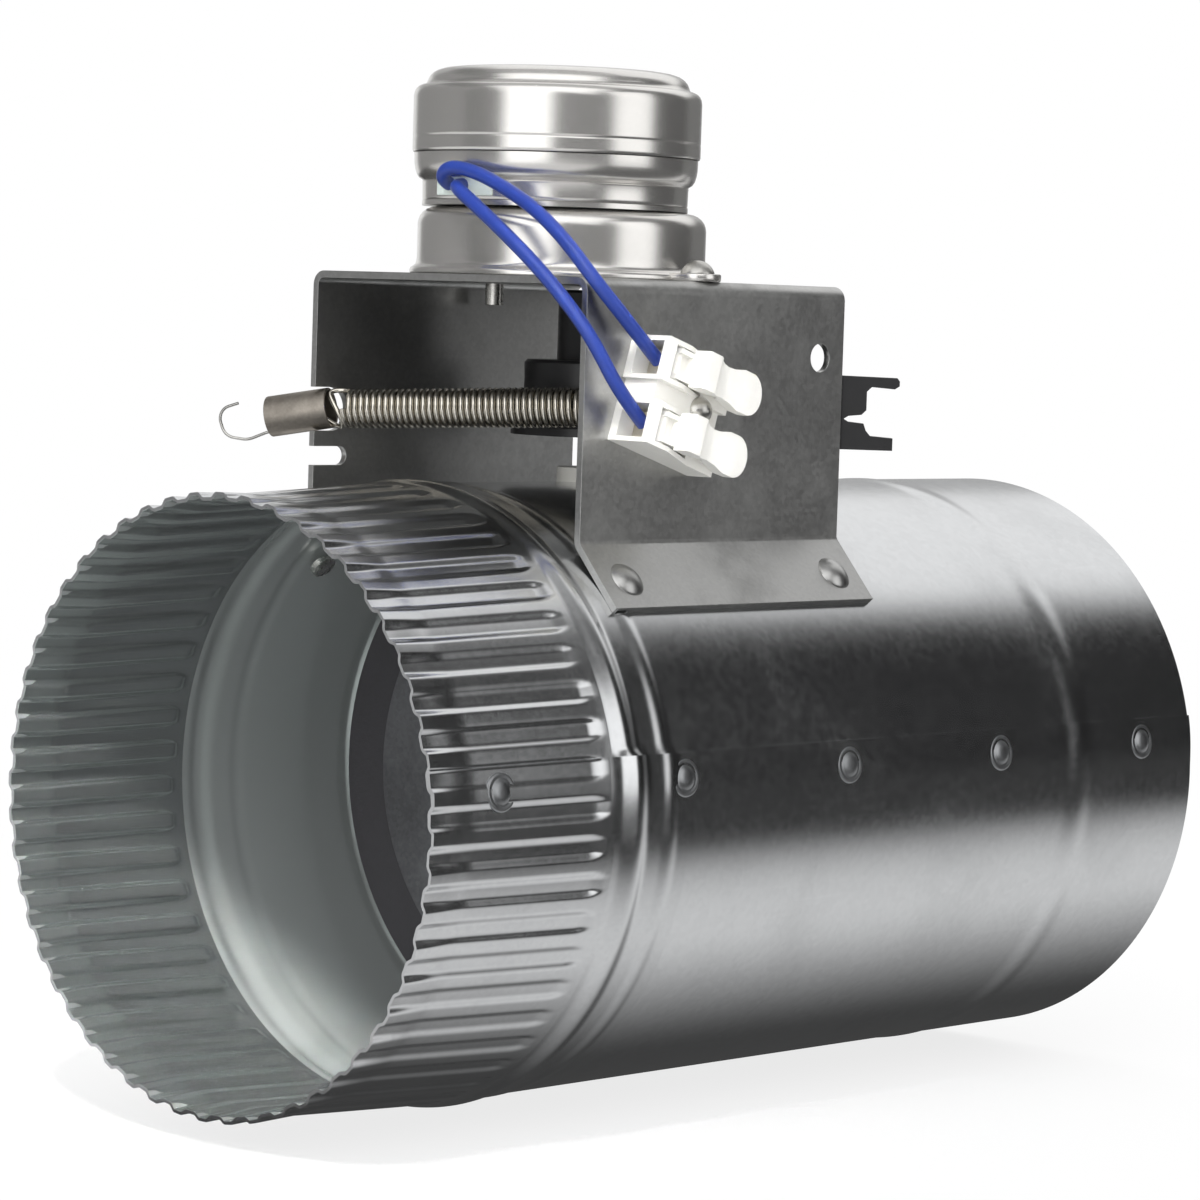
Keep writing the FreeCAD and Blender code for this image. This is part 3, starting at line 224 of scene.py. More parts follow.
# A material with one effect group on object coordinates
def finish(name, group, values, metallic, bump, **shader):
    material = bpy.data.materials.new(name)
    material.use_nodes = True
    tree = material.node_tree
    surface = tree.nodes["Principled BSDF"]
    place = tree.nodes.new("ShaderNodeTexCoord").outputs["Object"]
    effect = put(tree, "ShaderNodeGroup", node_tree=group)
    plug(tree, place, effect.inputs["Vector"])
    for key, value in values.items():
        plug(tree, value, effect.inputs[key])
    plug(tree, effect.outputs["Color"], surface.inputs["Base Color"])
    plug(tree, effect.outputs["Roughness"], surface.inputs["Roughness"])
    surface.inputs["Metallic"].default_value = metallic
    if bump:
        relief = put(tree, "ShaderNodeBump", {"Strength": bump, "Distance": bumpReach,
                                              "Height": effect.outputs["Height"]})
        plug(tree, relief.outputs[0], surface.inputs["Normal"])
    for key, value in shader.items():
        surface.inputs[key.replace("_", " ")].default_value = value
    return material


# Flakes are their size, as cells to a metre, and their contrast
def grained(name, base, flakes, stain, roughness, scratches, metallic=1.0, bump=0.0):
    values = {"Base": (*base, 1), "Flake Size": flakes[0], "Flake Contrast": flakes[1], "Stain": stain,
              "Roughness": roughness, "Scratches": scratches}
    return finish(name, metalGrain, values, metallic, bump)


# Mottle is its scale and its contrast
def mottled(name, base, mottle, roughness, metallic=0.0, bump=0.05, **shader):
    values = {"Base": (*base, 1), "Scale": mottle[0], "Contrast": mottle[1], "Roughness": roughness}
    return finish(name, softMottle, values, metallic, bump, **shader)


ductZinc = grained("ductZinc", base=(0.70, 0.71, 0.72), flakes=(900.0, 0.05), stain=0.10, roughness=0.20,
                   scratches=0.10, bump=0.02)
insideZinc = mottled("insideZinc", base=(0.68, 0.72, 0.71), mottle=(55.0, 0.05), roughness=0.215,
                     metallic=0.62, bump=0.01)
fluteZinc = mottled("fluteZinc", base=(0.62, 0.66, 0.65), mottle=(80.0, 0.05), roughness=0.20,
                    metallic=0.88, bump=0.01)
crimpZinc = grained("crimpZinc", base=(0.68, 0.69, 0.70), flakes=(1300.0, 0.04), stain=0.08, roughness=0.21,
                    scratches=0.10, bump=0.008)
buttonZinc = grained("buttonZinc", base=(0.38, 0.39, 0.40), flakes=(900.0, 0.08), stain=0.3, roughness=0.34,
                     scratches=0.10, bump=0.03)
plateZinc = grained("plateZinc", base=(0.56, 0.56, 0.55), flakes=(1500.0, 0.10), stain=0.35,
                    roughness=0.37, scratches=0.15, bump=0.10)
motorSteel = grained("motorSteel", base=(0.76, 0.745, 0.72), flakes=(2600.0, 0.03), stain=0.06,
                     roughness=0.22, scratches=0.05, metallic=0.90)
platedSteel = grained("platedSteel", base=(0.66, 0.65, 0.62), flakes=(2600.0, 0.10), stain=0.3,
                      roughness=0.25, scratches=0.2, bump=0.05)
rivetSteel = grained("rivetSteel", base=(0.52, 0.52, 0.51), flakes=(2600.0, 0.08), stain=0.3,
                     roughness=0.33, scratches=0.2, bump=0.05)
springWire = grained("springWire", base=(0.74, 0.70, 0.62), flakes=(2600.0, 0.08), stain=0.10,
                     roughness=0.19, scratches=0.1)
sleeveSteel = grained("sleeveSteel", base=(0.44, 0.40, 0.35), flakes=(2200.0, 0.12), stain=0.5,
                      roughness=0.34, scratches=0.2, bump=0.08)
copperWire = grained("copperWire", base=(0.60, 0.27, 0.12), flakes=(2600.0, 0.2), stain=0.2,
                     roughness=0.3, scratches=0.6)
brassStrip = grained("brassStrip", base=(0.62, 0.58, 0.50), flakes=(2600.0, 0.08), stain=0.4,
                     roughness=0.3, scratches=0.2)
whiteMoulding = mottled("whiteMoulding", base=(0.86, 0.85, 0.81), mottle=(260.0, 0.06), roughness=0.38,
                        Subsurface_Weight=0.15, Subsurface_Radius=(0.002, 0.002, 0.0018))
paleInsert = mottled("paleInsert", base=(0.70, 0.78, 0.74), mottle=(400.0, 0.12), roughness=0.45)
nylonNatural = mottled("nylonNatural", base=(0.74, 0.73, 0.68), mottle=(400.0, 0.08), roughness=0.45)
blackMoulding = mottled("blackMoulding", base=(0.012, 0.012, 0.013), mottle=(500.0, 0.3), roughness=0.36,
                        bump=0.08)
# The blade's front plate is galvanized steel; its near-black base colour is painted shade from deep inside
# the duct
paintedShadeBladePlate = grained("paintedShadeBladePlate", base=(0.18, 0.18, 0.19), flakes=(1500.0, 0.25), stain=0.3, roughness=0.55,
                    scratches=0.2, metallic=0.7, bump=0.3)
blackSheet = mottled("blackSheet", base=(0.055, 0.052, 0.058), mottle=(900.0, 1.1), roughness=0.62,
                     bump=0.45)
blueJacket = mottled("blueJacket", base=(0.018, 0.045, 0.27), mottle=(700.0, 0.14), roughness=0.33,
                     bump=0.06)
ferrite = mottled("ferrite", base=(0.05, 0.048, 0.047), mottle=(900.0, 0.3), roughness=0.5, bump=0.1)
print("materials ready")


# Piece helpers

def coat(mesh, material):
    mesh.materials.clear()
    mesh.materials.append(material)


# Puts a finished mesh in the scene as a piece of one body
def bodyPiece(name, mesh, material, body, slot, *nodes):
    piece = placed(name, mesh)
    if material is not None:
        coat(mesh, material)
    if body:
        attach(piece, body)
    if nodes:
        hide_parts(*nodes)
    return piece


# Keeps an object's finished shape as a plain mesh and takes the object away
def asMesh(holder):
    depsgraph = bpy.context.evaluated_depsgraph_get()
    mesh = bpy.data.meshes.new_from_object(holder.evaluated_get(depsgraph), preserve_all_data_layers=True,
                                           depsgraph=depsgraph)
    bpy.data.objects.remove(holder)
    return mesh


# Runs a geometry tree once and keeps the plain mesh
def grown(name, tree, values, source=None):
    holder = placed(name + "Source", source or bpy.data.meshes.new(name + "Source"))
    modifier = holder.modifiers.new("shape", "NODES")
    modifier.node_group = tree
    for label, value in values.items():
        modifier[tree.interface.items_tree[label].identifier] = value
    mesh = asMesh(holder)
    mesh.name = name
    return mesh


# Applies one modifier to a mesh and keeps the result
def modified(mesh, kind, **settings):
    holder = placed("holder", mesh)
    modifier = holder.modifiers.new(kind.lower(), kind)
    for key, value in settings.items():
        setattr(modifier, key, value)
    return asMesh(holder)


def smoothed(mesh, angle=35.0):
    mesh.shade_smooth()
    mesh.set_sharp_from_angle(angle=math.radians(angle))
    return mesh


def meshFrom(work, name):
    mesh = bpy.data.meshes.new(name)
    work.to_mesh(mesh)
    work.free()
    return mesh


# Turns (radius, height) points about the vertical axis
def latheMesh(name, profile, segments):
    work = bmesh.new()
    turns = [2 * math.pi * step / segments for step in range(segments)]
    rings = []
    for radius, height in profile:
        spots = turns if radius else turns[:1]  # a pole is one point
        rings.append([work.verts.new((radius * mm * math.cos(turn), radius * mm * math.sin(turn),
                                      height * mm)) for turn in spots])
    for low, high in zip(rings, rings[1:]):
        for step in range(segments):
            follow = (step + 1) % segments
            corners = [low[step % len(low)], low[follow % len(low)],
                       high[follow % len(high)], high[step % len(high)]]
            unique = list(dict.fromkeys(corners))
            if len(unique) > 2:
                work.faces.new(unique)
    bmesh.ops.recalc_face_normals(work, faces=work.faces)
    return smoothed(meshFrom(work, name))


def standing(mesh, x):
    mesh.transform(Matrix.Translation(at(x, 0, 0)))
    return mesh


# A round wire whose smooth line has these points as its controls
def wireCurve(name, points, radius, order, roundness):
    data = bpy.data.curves.new(name, "CURVE")
    data.dimensions = "3D"
    data.bevel_depth = radius * mm
    data.bevel_resolution = roundness
    data.use_fill_caps = True
    line = data.splines.new("NURBS")
    line.points.add(len(points) - 1)
    for point, place in zip(line.points, points):
        point.co = (*place, 1.0)
    line.order_u = order
    line.use_endpoint_u = True
    return placed(name, data)


# Leads

leadSizes = {"radius": 1.15,
             "upper": [(50.7, 2.2, 99.8), (48.1, 1.5, 100.5), (47.3, -0.5, 102.3), (47.9, -3.6, 102.3),
                       (48.4, -7.9, 101.1), (48.3, -13.9, 98.7), (47.9, -20.4, 95.7), (47.3, -27.6, 91.0),
                       (48.3, -33.7, 84.5), (54.2, -36.2, 77.6), (60.7189, -36.35, 72.0826)],
             "lower": [(50.58, -0.9, 99.6), (48.3, -1.6, 99.5), (46.3, -4.9, 98.4), (45.0, -10.9, 95.4),
                       (44.4, -17.0, 91.8), (44.9, -23.4, 87.0), (46.3, -29.2, 81.3), (47.8, -34.0, 75.2),
                       (52.3, -36.4, 66.4), (57.6489, -36.35, 62.0415)]}

for side, reach in (("upper", 0.0614), ("lower", 0.0609)):  # their lengths, in metres
    route = [at(*place) for place in leadSizes[side]]
    lead = wireCurve(side + "LeadJacket", route, leadSizes["radius"], order=3, roundness=6)
    lead.data.materials.append(blueJacket)
    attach(lead, "duct")
    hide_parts(side + "_lead")
print("leads laid")


# Duct shell

ductSizes = {"Radius": 50.8, "Crimp Count": 52.0, "Crimp End": 36.8, "Rim Radius": 49.35}
fluteSizes = {"Crimp Depth": 0.42, "Rim Share": 1.9}
insideFlutes = {"Crimp Depth": 1.0, "Rim Share": 0.8}
crimpSizes = {"rising": (0.14, 0.36), "falling": (0.64, 0.86), "endScatter": 1.1, "landReach": 1.4,
              "runOut": 1.8, "leastDepth": 0.85, "depthScatter": 0.3, "rimReach": 7.0,
              "flareReach": 8.5, "flare": 0.3, "rootStep": 0.1}
# Each bead's middle, width, height and drift along the duct in one turn from the seam
beadSizes = {"seamTurn": 12.05 / 360,
             "beads": ((42.5, 7.0, 0.72, 1.6), (51.0, 4.4, 0.20, 1.0), (157.5, 8.4, 0.24, 0.0))}
lapSizes = {"lowTurn": -1.5 / 360, "highTurn": 12.0 / 360, "lift": 0.42, "wall": 0.4}
ductWall = 0.5
ductSharp = 50  # bends past this many degrees stay crisp


# The duct skin's radius at a place along it and a share of a turn
def shellRadiusGroup(crimp, bead):
    inputs = [("X", "NodeSocketFloat", 0.0), ("Turn", "NodeSocketFloat", 0.0)]
    inputs += [(label, "NodeSocketFloat", value) for label, value in {**ductSizes, **fluteSizes}.items()]
    tree, given, out = newTree("shellRadius", "GeometryNodeTree", inputs, [("Radius", "NodeSocketFloat")])
    along, crimpEnd = given["X"], given["Crimp End"]
    flute = times(tree, given["Turn"], given["Crimp Count"])
    share = calc(tree, "FRACT", flute)
    number = calc(tree, "FLOOR", flute)
    pick = put(tree, "ShaderNodeTexWhiteNoise", {"W": number}, noise_dimensions="1D").outputs[0]
    dip = times(tree, span(tree, share, *crimp["rising"]), span(tree, share, *crimp["falling"], 1.0, 0.0))
    end = plus(tree, crimpEnd, times(tree, minus(tree, pick, 0.5), crimp["endScatter"]))
    reach = plus(tree, along, times(tree, minus(tree, 1.0, dip), crimp["landReach"]))
    mask = span(tree, reach, minus(tree, end, crimp["runOut"]), end, 1.0, 0.0)
    scatter = plus(tree, crimp["leastDepth"], times(tree, pick, crimp["depthScatter"]))
    depth = times(tree, given["Crimp Depth"], scatter)
    depth = times(tree, depth, span(tree, along, 0.0, crimp["rimReach"], given["Rim Share"], 1.0))
    groove = times(tree, times(tree, depth, mask), dip)
    crest = span(tree, along, crimp["flareReach"], crimpEnd, given["Rim Radius"],
                 minus(tree, given["Radius"], crimp["rootStep"]), smooth=False)
    flare = span(tree, along, 0.0, crimp["flareReach"], crimp["flare"], 0.0, smooth=False)
    ease = span(tree, along, crimpEnd, plus(tree, crimpEnd, crimp["runOut"]), 0.0, crimp["rootStep"])
    radius = minus(tree, plus(tree, plus(tree, crest, flare), ease), groove)
    sweep = minus(tree, calc(tree, "FRACT", minus(tree, given["Turn"], bead["seamTurn"])), 0.5)
    for centre, width, height, drift in bead["beads"]:
        middle = plus(tree, times(tree, sweep, drift), centre)
        away = calc(tree, "DIVIDE", minus(tree, along, middle), width / 2)
        away = calc(tree, "MINIMUM", calc(tree, "MAXIMUM", away, -1.0), 1.0)
        bell = plus(tree, 0.5, times(tree, 0.5, calc(tree, "COSINE", times(tree, away, math.pi))))
        radius = plus(tree, radius, times(tree, bell, height))
    plug(tree, radius, out["Radius"])
    return tree


shellRadius = shellRadiusGroup(crimpSizes, beadSizes)


# Rolls a flat grid into a stretch of the duct
def shellTree():
    tree, given, out = newTree("rolledShell", "GeometryNodeTree", [
        ("Start", "NodeSocketFloat", 0.0), ("End", "NodeSocketFloat", 40.0),
        ("Low Turn", "NodeSocketFloat", 0.0), ("High Turn", "NodeSocketFloat", 1.0),
        ("Rings", "NodeSocketInt", 40), ("Steps", "NodeSocketInt", 520),
        ("Lift", "NodeSocketFloat", 0.0), ("Inset", "NodeSocketFloat", 0.0),
        *((label, "NodeSocketFloat", value) for label, value in fluteSizes.items()),
        ("Material", "NodeSocketMaterial", None)], [("Geometry", "NodeSocketGeometry")])
    grid = put(tree, "GeometryNodeMeshGrid", {"Size X": 1.0, "Size Y": 1.0, "Vertices X": given["Rings"],
                                              "Vertices Y": given["Steps"]}).outputs[0]
    flat = tree.nodes.new("GeometryNodeInputPosition").outputs[0]
    place = put(tree, "ShaderNodeSeparateXYZ", {0: flat}).outputs
    alongShare = plus(tree, place[0], 0.5)
    turnShare = plus(tree, place[1], 0.5)
    along = span(tree, alongShare, 0.0, 1.0, given["Start"], given["End"], smooth=False)
    turn = span(tree, turnShare, 0.0, 1.0, given["Low Turn"], given["High Turn"], smooth=False)
    rule = put(tree, "GeometryNodeGroup", node_tree=shellRadius)
    plug(tree, along, rule.inputs["X"])
    plug(tree, turn, rule.inputs["Turn"])
    for label in fluteSizes:
        plug(tree, given[label], rule.inputs[label])
    lift = times(tree, given["Lift"], span(tree, turnShare, 0.0, 1.0))
    radius = minus(tree, plus(tree, rule.outputs["Radius"], lift), given["Inset"])
    angle = times(tree, turn, 2 * math.pi)
    x = times(tree, plus(tree, along, rimX), mm)
    y = times(tree, times(tree, radius, calc(tree, "COSINE", angle)), -mm)
    z = times(tree, times(tree, radius, calc(tree, "SINE", angle)), mm)
    spot = put(tree, "ShaderNodeCombineXYZ", {0: x, 1: y, 2: z}).outputs[0]
    moved = put(tree, "GeometryNodeSetPosition", {"Geometry": grid, "Position": spot}).outputs[0]
    merged = put(tree, "GeometryNodeMergeByDistance", {"Geometry": moved, "Distance": mergeReach}).outputs[0]
    smooth = put(tree, "GeometryNodeSetShadeSmooth", {"Geometry": merged}).outputs[0]
    plug(tree, dressed(tree, smooth, given["Material"]), out["Geometry"])
    return tree


rolledShell = shellTree()


# Points the skin's faces away from the duct's axis
def outward(mesh):
    work = bmesh.new()
    work.from_mesh(mesh)
    if sum(face.normal.yz.dot(face.calc_center_median().yz) for face in work.faces) < 0:
        bmesh.ops.reverse_faces(work, faces=work.faces)
    work.to_mesh(mesh)
    work.free()
    return mesh


# A stretch of the skin with its wall; the wall's inner side has its own zinc
def shellPiece(name, skin, start, end, rings, steps, lowTurn=0.0, highTurn=1.0, lift=0.0, wall=ductWall,
               inset=0.0, flutes=fluteSizes):
    mesh = grown(name, rolledShell, {"Start": start, "End": end, "Rings": rings, "Steps": steps,
                                     "Low Turn": lowTurn, "High Turn": highTurn, "Lift": lift,
                                     "Inset": inset, "Material": skin, **flutes})
    mesh.materials.append(fluteZinc if skin == fluteZinc else insideZinc)
    mesh = modified(outward(mesh), "SOLIDIFY", thickness=wall * mm, offset=-1.0, material_offset=1)
    mesh.set_sharp_from_angle(angle=math.radians(ductSharp))
    return bodyPiece(name, mesh, None, "duct", "galvanized_duct")


crimpSteps = 20 * int(ductSizes["Crimp Count"]) + 1  # twenty steps to a crimp
crimpedEnd = shellPiece("crimpedEnd", crimpZinc, 0.0, 38.6, rings=38, steps=crimpSteps)
shellPiece("crimpInside", fluteZinc, 0.1, 38.5, rings=38, steps=crimpSteps, wall=0.1, inset=0.45,
           flutes=insideFlutes)
shellPiece("beadedNeck", crimpZinc, 38.6, 56.0, rings=52, steps=361)
shellPiece("rolledBody", ductZinc, 56.0, 190.5, rings=150, steps=241)
shellPiece("crimpLap", crimpZinc, 0.0, 37.6, rings=38, steps=61, **lapSizes)
shellPiece("seamLap", ductZinc, 37.6, 190.4, rings=300, steps=16, **lapSizes)
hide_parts("duct_shell")
print("duct rolled")


# Copies placed along points with their own directions

def copiesTree():
    tree, given, out = newTree("placedCopies", "GeometryNodeTree", [
        ("Geometry", "NodeSocketGeometry", None), ("Template", "NodeSocketObject", None),
        ("Material", "NodeSocketMaterial", None)], [("Geometry", "NodeSocketGeometry")])
    template = put(tree, "GeometryNodeObjectInfo", {"Object": given["Template"]}).outputs["Geometry"]
    axis = put(tree, "GeometryNodeInputNamedAttribute", {"Name": "axis"},
               data_type="FLOAT_VECTOR").outputs[0]
    aligned = put(tree, "FunctionNodeAlignRotationToVector", {"Vector": axis}, axis="Z").outputs[0]
    row = put(tree, "GeometryNodeInstanceOnPoints", {"Points": given["Geometry"], "Instance": template,
                                                     "Rotation": aligned}).outputs[0]
    plug(tree, dressed(tree, row, given["Material"]), out["Geometry"])
    return tree


placedCopies = copiesTree()


# Sets one template on many places, each along its own axis
def copies(name, template, places, material, body, slot, *nodes):
    points = bpy.data.meshes.new(name + "Points")
    points.from_pydata([place for place, axis in places], [], [])
    stored = points.attributes.new("axis", "FLOAT_VECTOR", "POINT")
    for index, (place, axis) in enumerate(places):
        stored.data[index].vector = axis
    holder = placed(name + "Template", template)
    mesh = grown(name, placedCopies, {"Template": holder, "Material": material}, points)
    bpy.data.objects.remove(holder)
    return bodyPiece(name, smoothed(mesh), None, body, slot, *nodes)


seamButton = {"profile": [(0, 0.36), (0.6, 0.355), (1.1, 0.31), (1.5, 0.22), (1.85, 0.08), (2.1, -0.02),
                          (2.35, -0.02), (2.65, 0.04), (2.9, 0.02), (3.05, -0.08), (3.1, -0.3), (0, -0.5)],
              "first": 14.5, "pitch": 40.3, "count": 5, "angle": 7.5,
              "crimpRadius": 49.85, "bodyRadius": 51.15}


# The first button lies on the crimps, the others on the plain duct
def buttonPlaces(sizes):
    tilt = math.radians(sizes["angle"])
    axis = Vector((0, -math.cos(tilt), math.sin(tilt)))
    for index in range(sizes["count"]):
        x = sizes["first"] + index * sizes["pitch"]
        radius = sizes["crimpRadius"] if index == 0 else sizes["bodyRadius"]
        yield at(x, 0, 0) + axis * radius * mm, axis


button = latheMesh("buttonLathe", seamButton["profile"], segments=40)
copies("seamButtonRow", button, list(buttonPlaces(seamButton)), buttonZinc, "duct", "galvanized_duct",
       "seam_buttons")

rivetSizes = {"head": [(0, 1.28), (0.9, 1.22), (1.7, 1.02), (2.4, 0.66), (2.9, 0.3), (3.2, 0.02),
                       (3.25, -0.2), (0, -0.3)],
              "tail": [(0, -4.4), (1.4, -4.3), (2.1, -3.9), (2.25, -3.0), (0, -2.6)],
              "footAngle": 41.1, "footRadius": 52.0, "halfWidth": 31.75, "fromBend": 7.4,
              "columns": (54.8, 105.9)}


# Two rivets on each foot of the bracket, below the foot's bend
def rivetPlaces(sizes):
    tilt, half = math.radians(sizes["footAngle"]), sizes["halfWidth"]
    bendZ = (sizes["footRadius"] - math.cos(tilt) * half) / math.sin(tilt)
    for side in (-1, 1):
        axis = Vector((0, side * math.cos(tilt), math.sin(tilt)))
        slope = Vector((0, side * math.sin(tilt), -math.cos(tilt)))
        for x in sizes["columns"]:
            yield at(x, side * half, bendZ) + slope * sizes["fromBend"] * mm, axis


head = latheMesh("rivetLathe", rivetSizes["head"], segments=40)
tail = latheMesh("tailLathe", rivetSizes["tail"], segments=32)
spots = list(rivetPlaces(rivetSizes))
copies("rivetHeads", head, spots, rivetSteel, "duct", "plated_steel", "bracket_rivets")
copies("rivetTails", tail, spots, platedSteel, "duct", "plated_steel")
print("buttons and rivets placed")


# The shaft's foot sits nearly flush in the duct's lowest point
footCup = {"profile": [(0, -49.9), (4.6, -49.9), (5.1, -50.1), (5.2, -50.4), (5.15, -50.85), (4.8, -50.98),
                       (2.2, -51.0), (1.6, -50.85), (0, -50.8)]}
cup = standing(latheMesh("footCup", footCup["profile"], segments=48), shaftX)
bodyPiece("footCup", cup, nylonNatural, "duct", "pale_moulding", "lower_bushing")


# Motor shells

motorSizes = {
    "gearX": 75.5, "coilX": 73.6,
    "housing": [(0, 86.0), (0, 85.12), (25.1, 85.12), (25.35, 85.3), (25.4, 85.75), (25.2, 86.15),
                (24.75, 86.42), (24.4, 86.75), (24.25, 87.3), (24.2, 88.2), (24.2, 88.6), (24.2, 93.1),
                (24.2, 93.5), (24.1, 94.2), (23.85, 94.85), (23.4, 95.45), (22.8, 95.92), (22.0, 96.25),
                (21.2, 96.38), (19.0, 96.4), (0, 96.4)],
    "gap": [(0, 96.5), (22.25, 96.5), (22.25, 97.35), (0, 97.35)],
    "band": [(0, 97.3), (21.8, 97.3), (22.1, 97.45), (22.2, 97.7), (22.2, 98.1), (22.25, 100.2),
             (22.3, 100.45), (22.2, 100.6), (22.35, 100.8), (22.9, 101.15), (23.3, 101.75), (23.55, 102.6),
             (23.7, 103.5), (23.75, 105.2), (0, 105.2)],
    "can": [(0, 105.3), (23.6, 105.3), (23.98, 105.4), (24.1, 105.7), (24.1, 106.0), (24.1, 107.5),
            (24.1, 107.7), (24.04, 107.8), (24.04, 107.9), (24.1, 108.0), (24.1, 108.4), (24.1, 114.2),
            (24.1, 114.6), (24.0, 115.3), (23.75, 115.85), (23.35, 116.25), (22.8, 116.5), (22.3, 116.62),
            (22.0, 116.85), (21.85, 117.3), (21.6, 117.9), (21.1, 118.5), (20.3, 119.0), (19.2, 119.35),
            (17.8, 119.55), (15.5, 119.7), (9.0, 119.85), (0, 119.9)],
    "ears": (-81.7, 68.0), "earReach": 27.6, "earRadius": 3.9, "earBottom": 85.12, "earTop": 86.4,
    "webEnd": 20.0, "earEdge": 0.25}


# A screw ear: a round end with a straight web that runs in under the flange
def earMesh(sizes, angle):
    reach, radius, bottom = sizes["earReach"], sizes["earRadius"], sizes["earBottom"]
    half = [math.pi / 2 * (1 - step / 8) for step in range(17)]
    outline = [(reach + radius * math.cos(turn), radius * math.sin(turn)) for turn in half]
    outline += [(sizes["webEnd"], -radius), (sizes["webEnd"], radius)]
    work = bmesh.new()
    face = work.faces.new([work.verts.new((x * mm, y * mm, bottom * mm)) for x, y in outline])
    top = bmesh.ops.extrude_face_region(work, geom=[face])["geom"]
    bmesh.ops.translate(work, vec=(0, 0, (sizes["earTop"] - bottom) * mm),
                        verts=[item for item in top if isinstance(item, bmesh.types.BMVert)])
    bmesh.ops.recalc_face_normals(work, faces=work.faces)
    mesh = meshFrom(work, "screwEar")
    mesh.transform(Matrix.Rotation(math.radians(angle), 4, "Z"))
    return smoothed(modified(mesh, "BEVEL", width=sizes["earEdge"] * mm, segments=2, limit_method="ANGLE"))


# One turned shell of the motor, standing at its own middle
def motorPiece(name, part, x, slot, node, segments=180):
    mesh = standing(latheMesh(name, motorSizes[part], segments), motorSizes[x])
    bodyPiece(name, mesh, motorSteel, "duct", slot, node)


motorPiece("housingShell", "housing", "gearX", "motor_steel", "gear_housing")
for number, angle in enumerate(motorSizes["ears"]):
    ear = standing(earMesh(motorSizes, angle), motorSizes["gearX"])
    bodyPiece("screwEar" + str(number), ear, motorSteel, "duct", "motor_steel")
motorPiece("gapRing", "gap", "coilX", "motor_steel", "mid_plate", segments=120)
motorPiece("bandShell", "band", "coilX", "motor_band_steel", "motor_band")
motorPiece("canShell", "can", "coilX", "motor_steel", "motor_can")
print("motor dressed")


# Return spring

springSizes = {"anchor": (51.4, 31.15, 61.8), "drumRadius": 17.25, "drumZ": 63.65, "start": 4.2,
               "tangentAngle": 207.427, "endAngle": 286.1, "coilRadius": 2.95, "wire": 0.5, "pitch": 1.1,
               "steps": 20, "parts": 40, "hookWire": 0.42}


# The coil's centre line: straight from the hook to the drum, then round it
def springPath(sizes):
    anchor = at(*sizes["anchor"])
    bearing = math.radians(sizes["tangentAngle"])
    sweep = math.radians(sizes["endAngle"]) - bearing
    radius, parts = sizes["drumRadius"] * mm, sizes["parts"]
    centre = at(shaftX, 0, sizes["drumZ"])

    def onDrum(turn):
        return centre + Vector((math.cos(turn), math.sin(turn), 0)) * radius

    tangent = onDrum(bearing)
    inward = (tangent - anchor).normalized()
    start = anchor + inward * sizes["start"] * mm
    length = (tangent - start).length
    points = [start + inward * length * step / parts for step in range(parts)]
    points += [onDrum(bearing + sweep * step / parts) for step in range(parts + 1)]
    return points, length + sweep * radius, tangent


# Winds a wire round any line
def coilTree():
    tree, given, out = newTree("closeCoil", "GeometryNodeTree", [
        ("Geometry", "NodeSocketGeometry", None), ("Turns", "NodeSocketFloat", 60.0),
        ("Steps", "NodeSocketInt", 20), ("Coil Radius", "NodeSocketFloat", 0.003),
        ("Wire Radius", "NodeSocketFloat", 0.0005), ("Material", "NodeSocketMaterial", None)],
        [("Geometry", "NodeSocketGeometry")])

    def scaled(vector, factor):
        return put(tree, "ShaderNodeVectorMath", {0: vector, "Scale": factor}, operation="SCALE").outputs[0]

    line = put(tree, "GeometryNodeMeshToCurve", {"Mesh": given["Geometry"]}).outputs[0]
    count = plus(tree, times(tree, given["Turns"], given["Steps"]), 1.0)
    fine = put(tree, "GeometryNodeResampleCurve", {"Curve": line, "Count": count}).outputs[0]
    normal = tree.nodes.new("GeometryNodeInputNormal").outputs[0]
    tangent = tree.nodes.new("GeometryNodeInputTangent").outputs[0]
    across = put(tree, "ShaderNodeVectorMath", {0: tangent, 1: normal}, operation="CROSS_PRODUCT").outputs[0]
    number = tree.nodes.new("GeometryNodeInputIndex").outputs[0]
    angle = times(tree, calc(tree, "DIVIDE", number, given["Steps"]), 2 * math.pi)
    first = scaled(normal, times(tree, calc(tree, "COSINE", angle), given["Coil Radius"]))
    second = scaled(across, times(tree, calc(tree, "SINE", angle), given["Coil Radius"]))
    shift = put(tree, "ShaderNodeVectorMath", {0: first, 1: second}, operation="ADD").outputs[0]
    coiled = put(tree, "GeometryNodeSetPosition", {"Geometry": fine, "Offset": shift}).outputs[0]
    ring = put(tree, "GeometryNodeCurvePrimitiveCircle", {"Resolution": 8,
                                                          "Radius": given["Wire Radius"]}).outputs[0]
    tube = put(tree, "GeometryNodeCurveToMesh", {"Curve": coiled, "Profile Curve": ring,
                                                 "Fill Caps": True}).outputs[0]
    smooth = put(tree, "GeometryNodeSetShadeSmooth", {"Geometry": tube}).outputs[0]
    plug(tree, dressed(tree, smooth, given["Material"]), out["Geometry"])
    return tree


closeCoil = coilTree()


def lineMesh(name, points):
    mesh = bpy.data.meshes.new(name)
    mesh.from_pydata(points, [(index, index + 1) for index in range(len(points) - 1)], [])
    return mesh


springLine, springLength, springTangent = springPath(springSizes)
coilValues = {"Turns": springLength / (springSizes["pitch"] * mm), "Steps": springSizes["steps"],
              "Coil Radius": springSizes["coilRadius"] * mm, "Wire Radius": springSizes["wire"] * mm,
              "Material": springWire}
coil = grown("springCoil", closeCoil, coilValues, lineMesh("springLine", springLine))
springCoil = bodyPiece("springCoil", coil, None, None, "spring_steel", "return_spring")
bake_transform(springCoil)

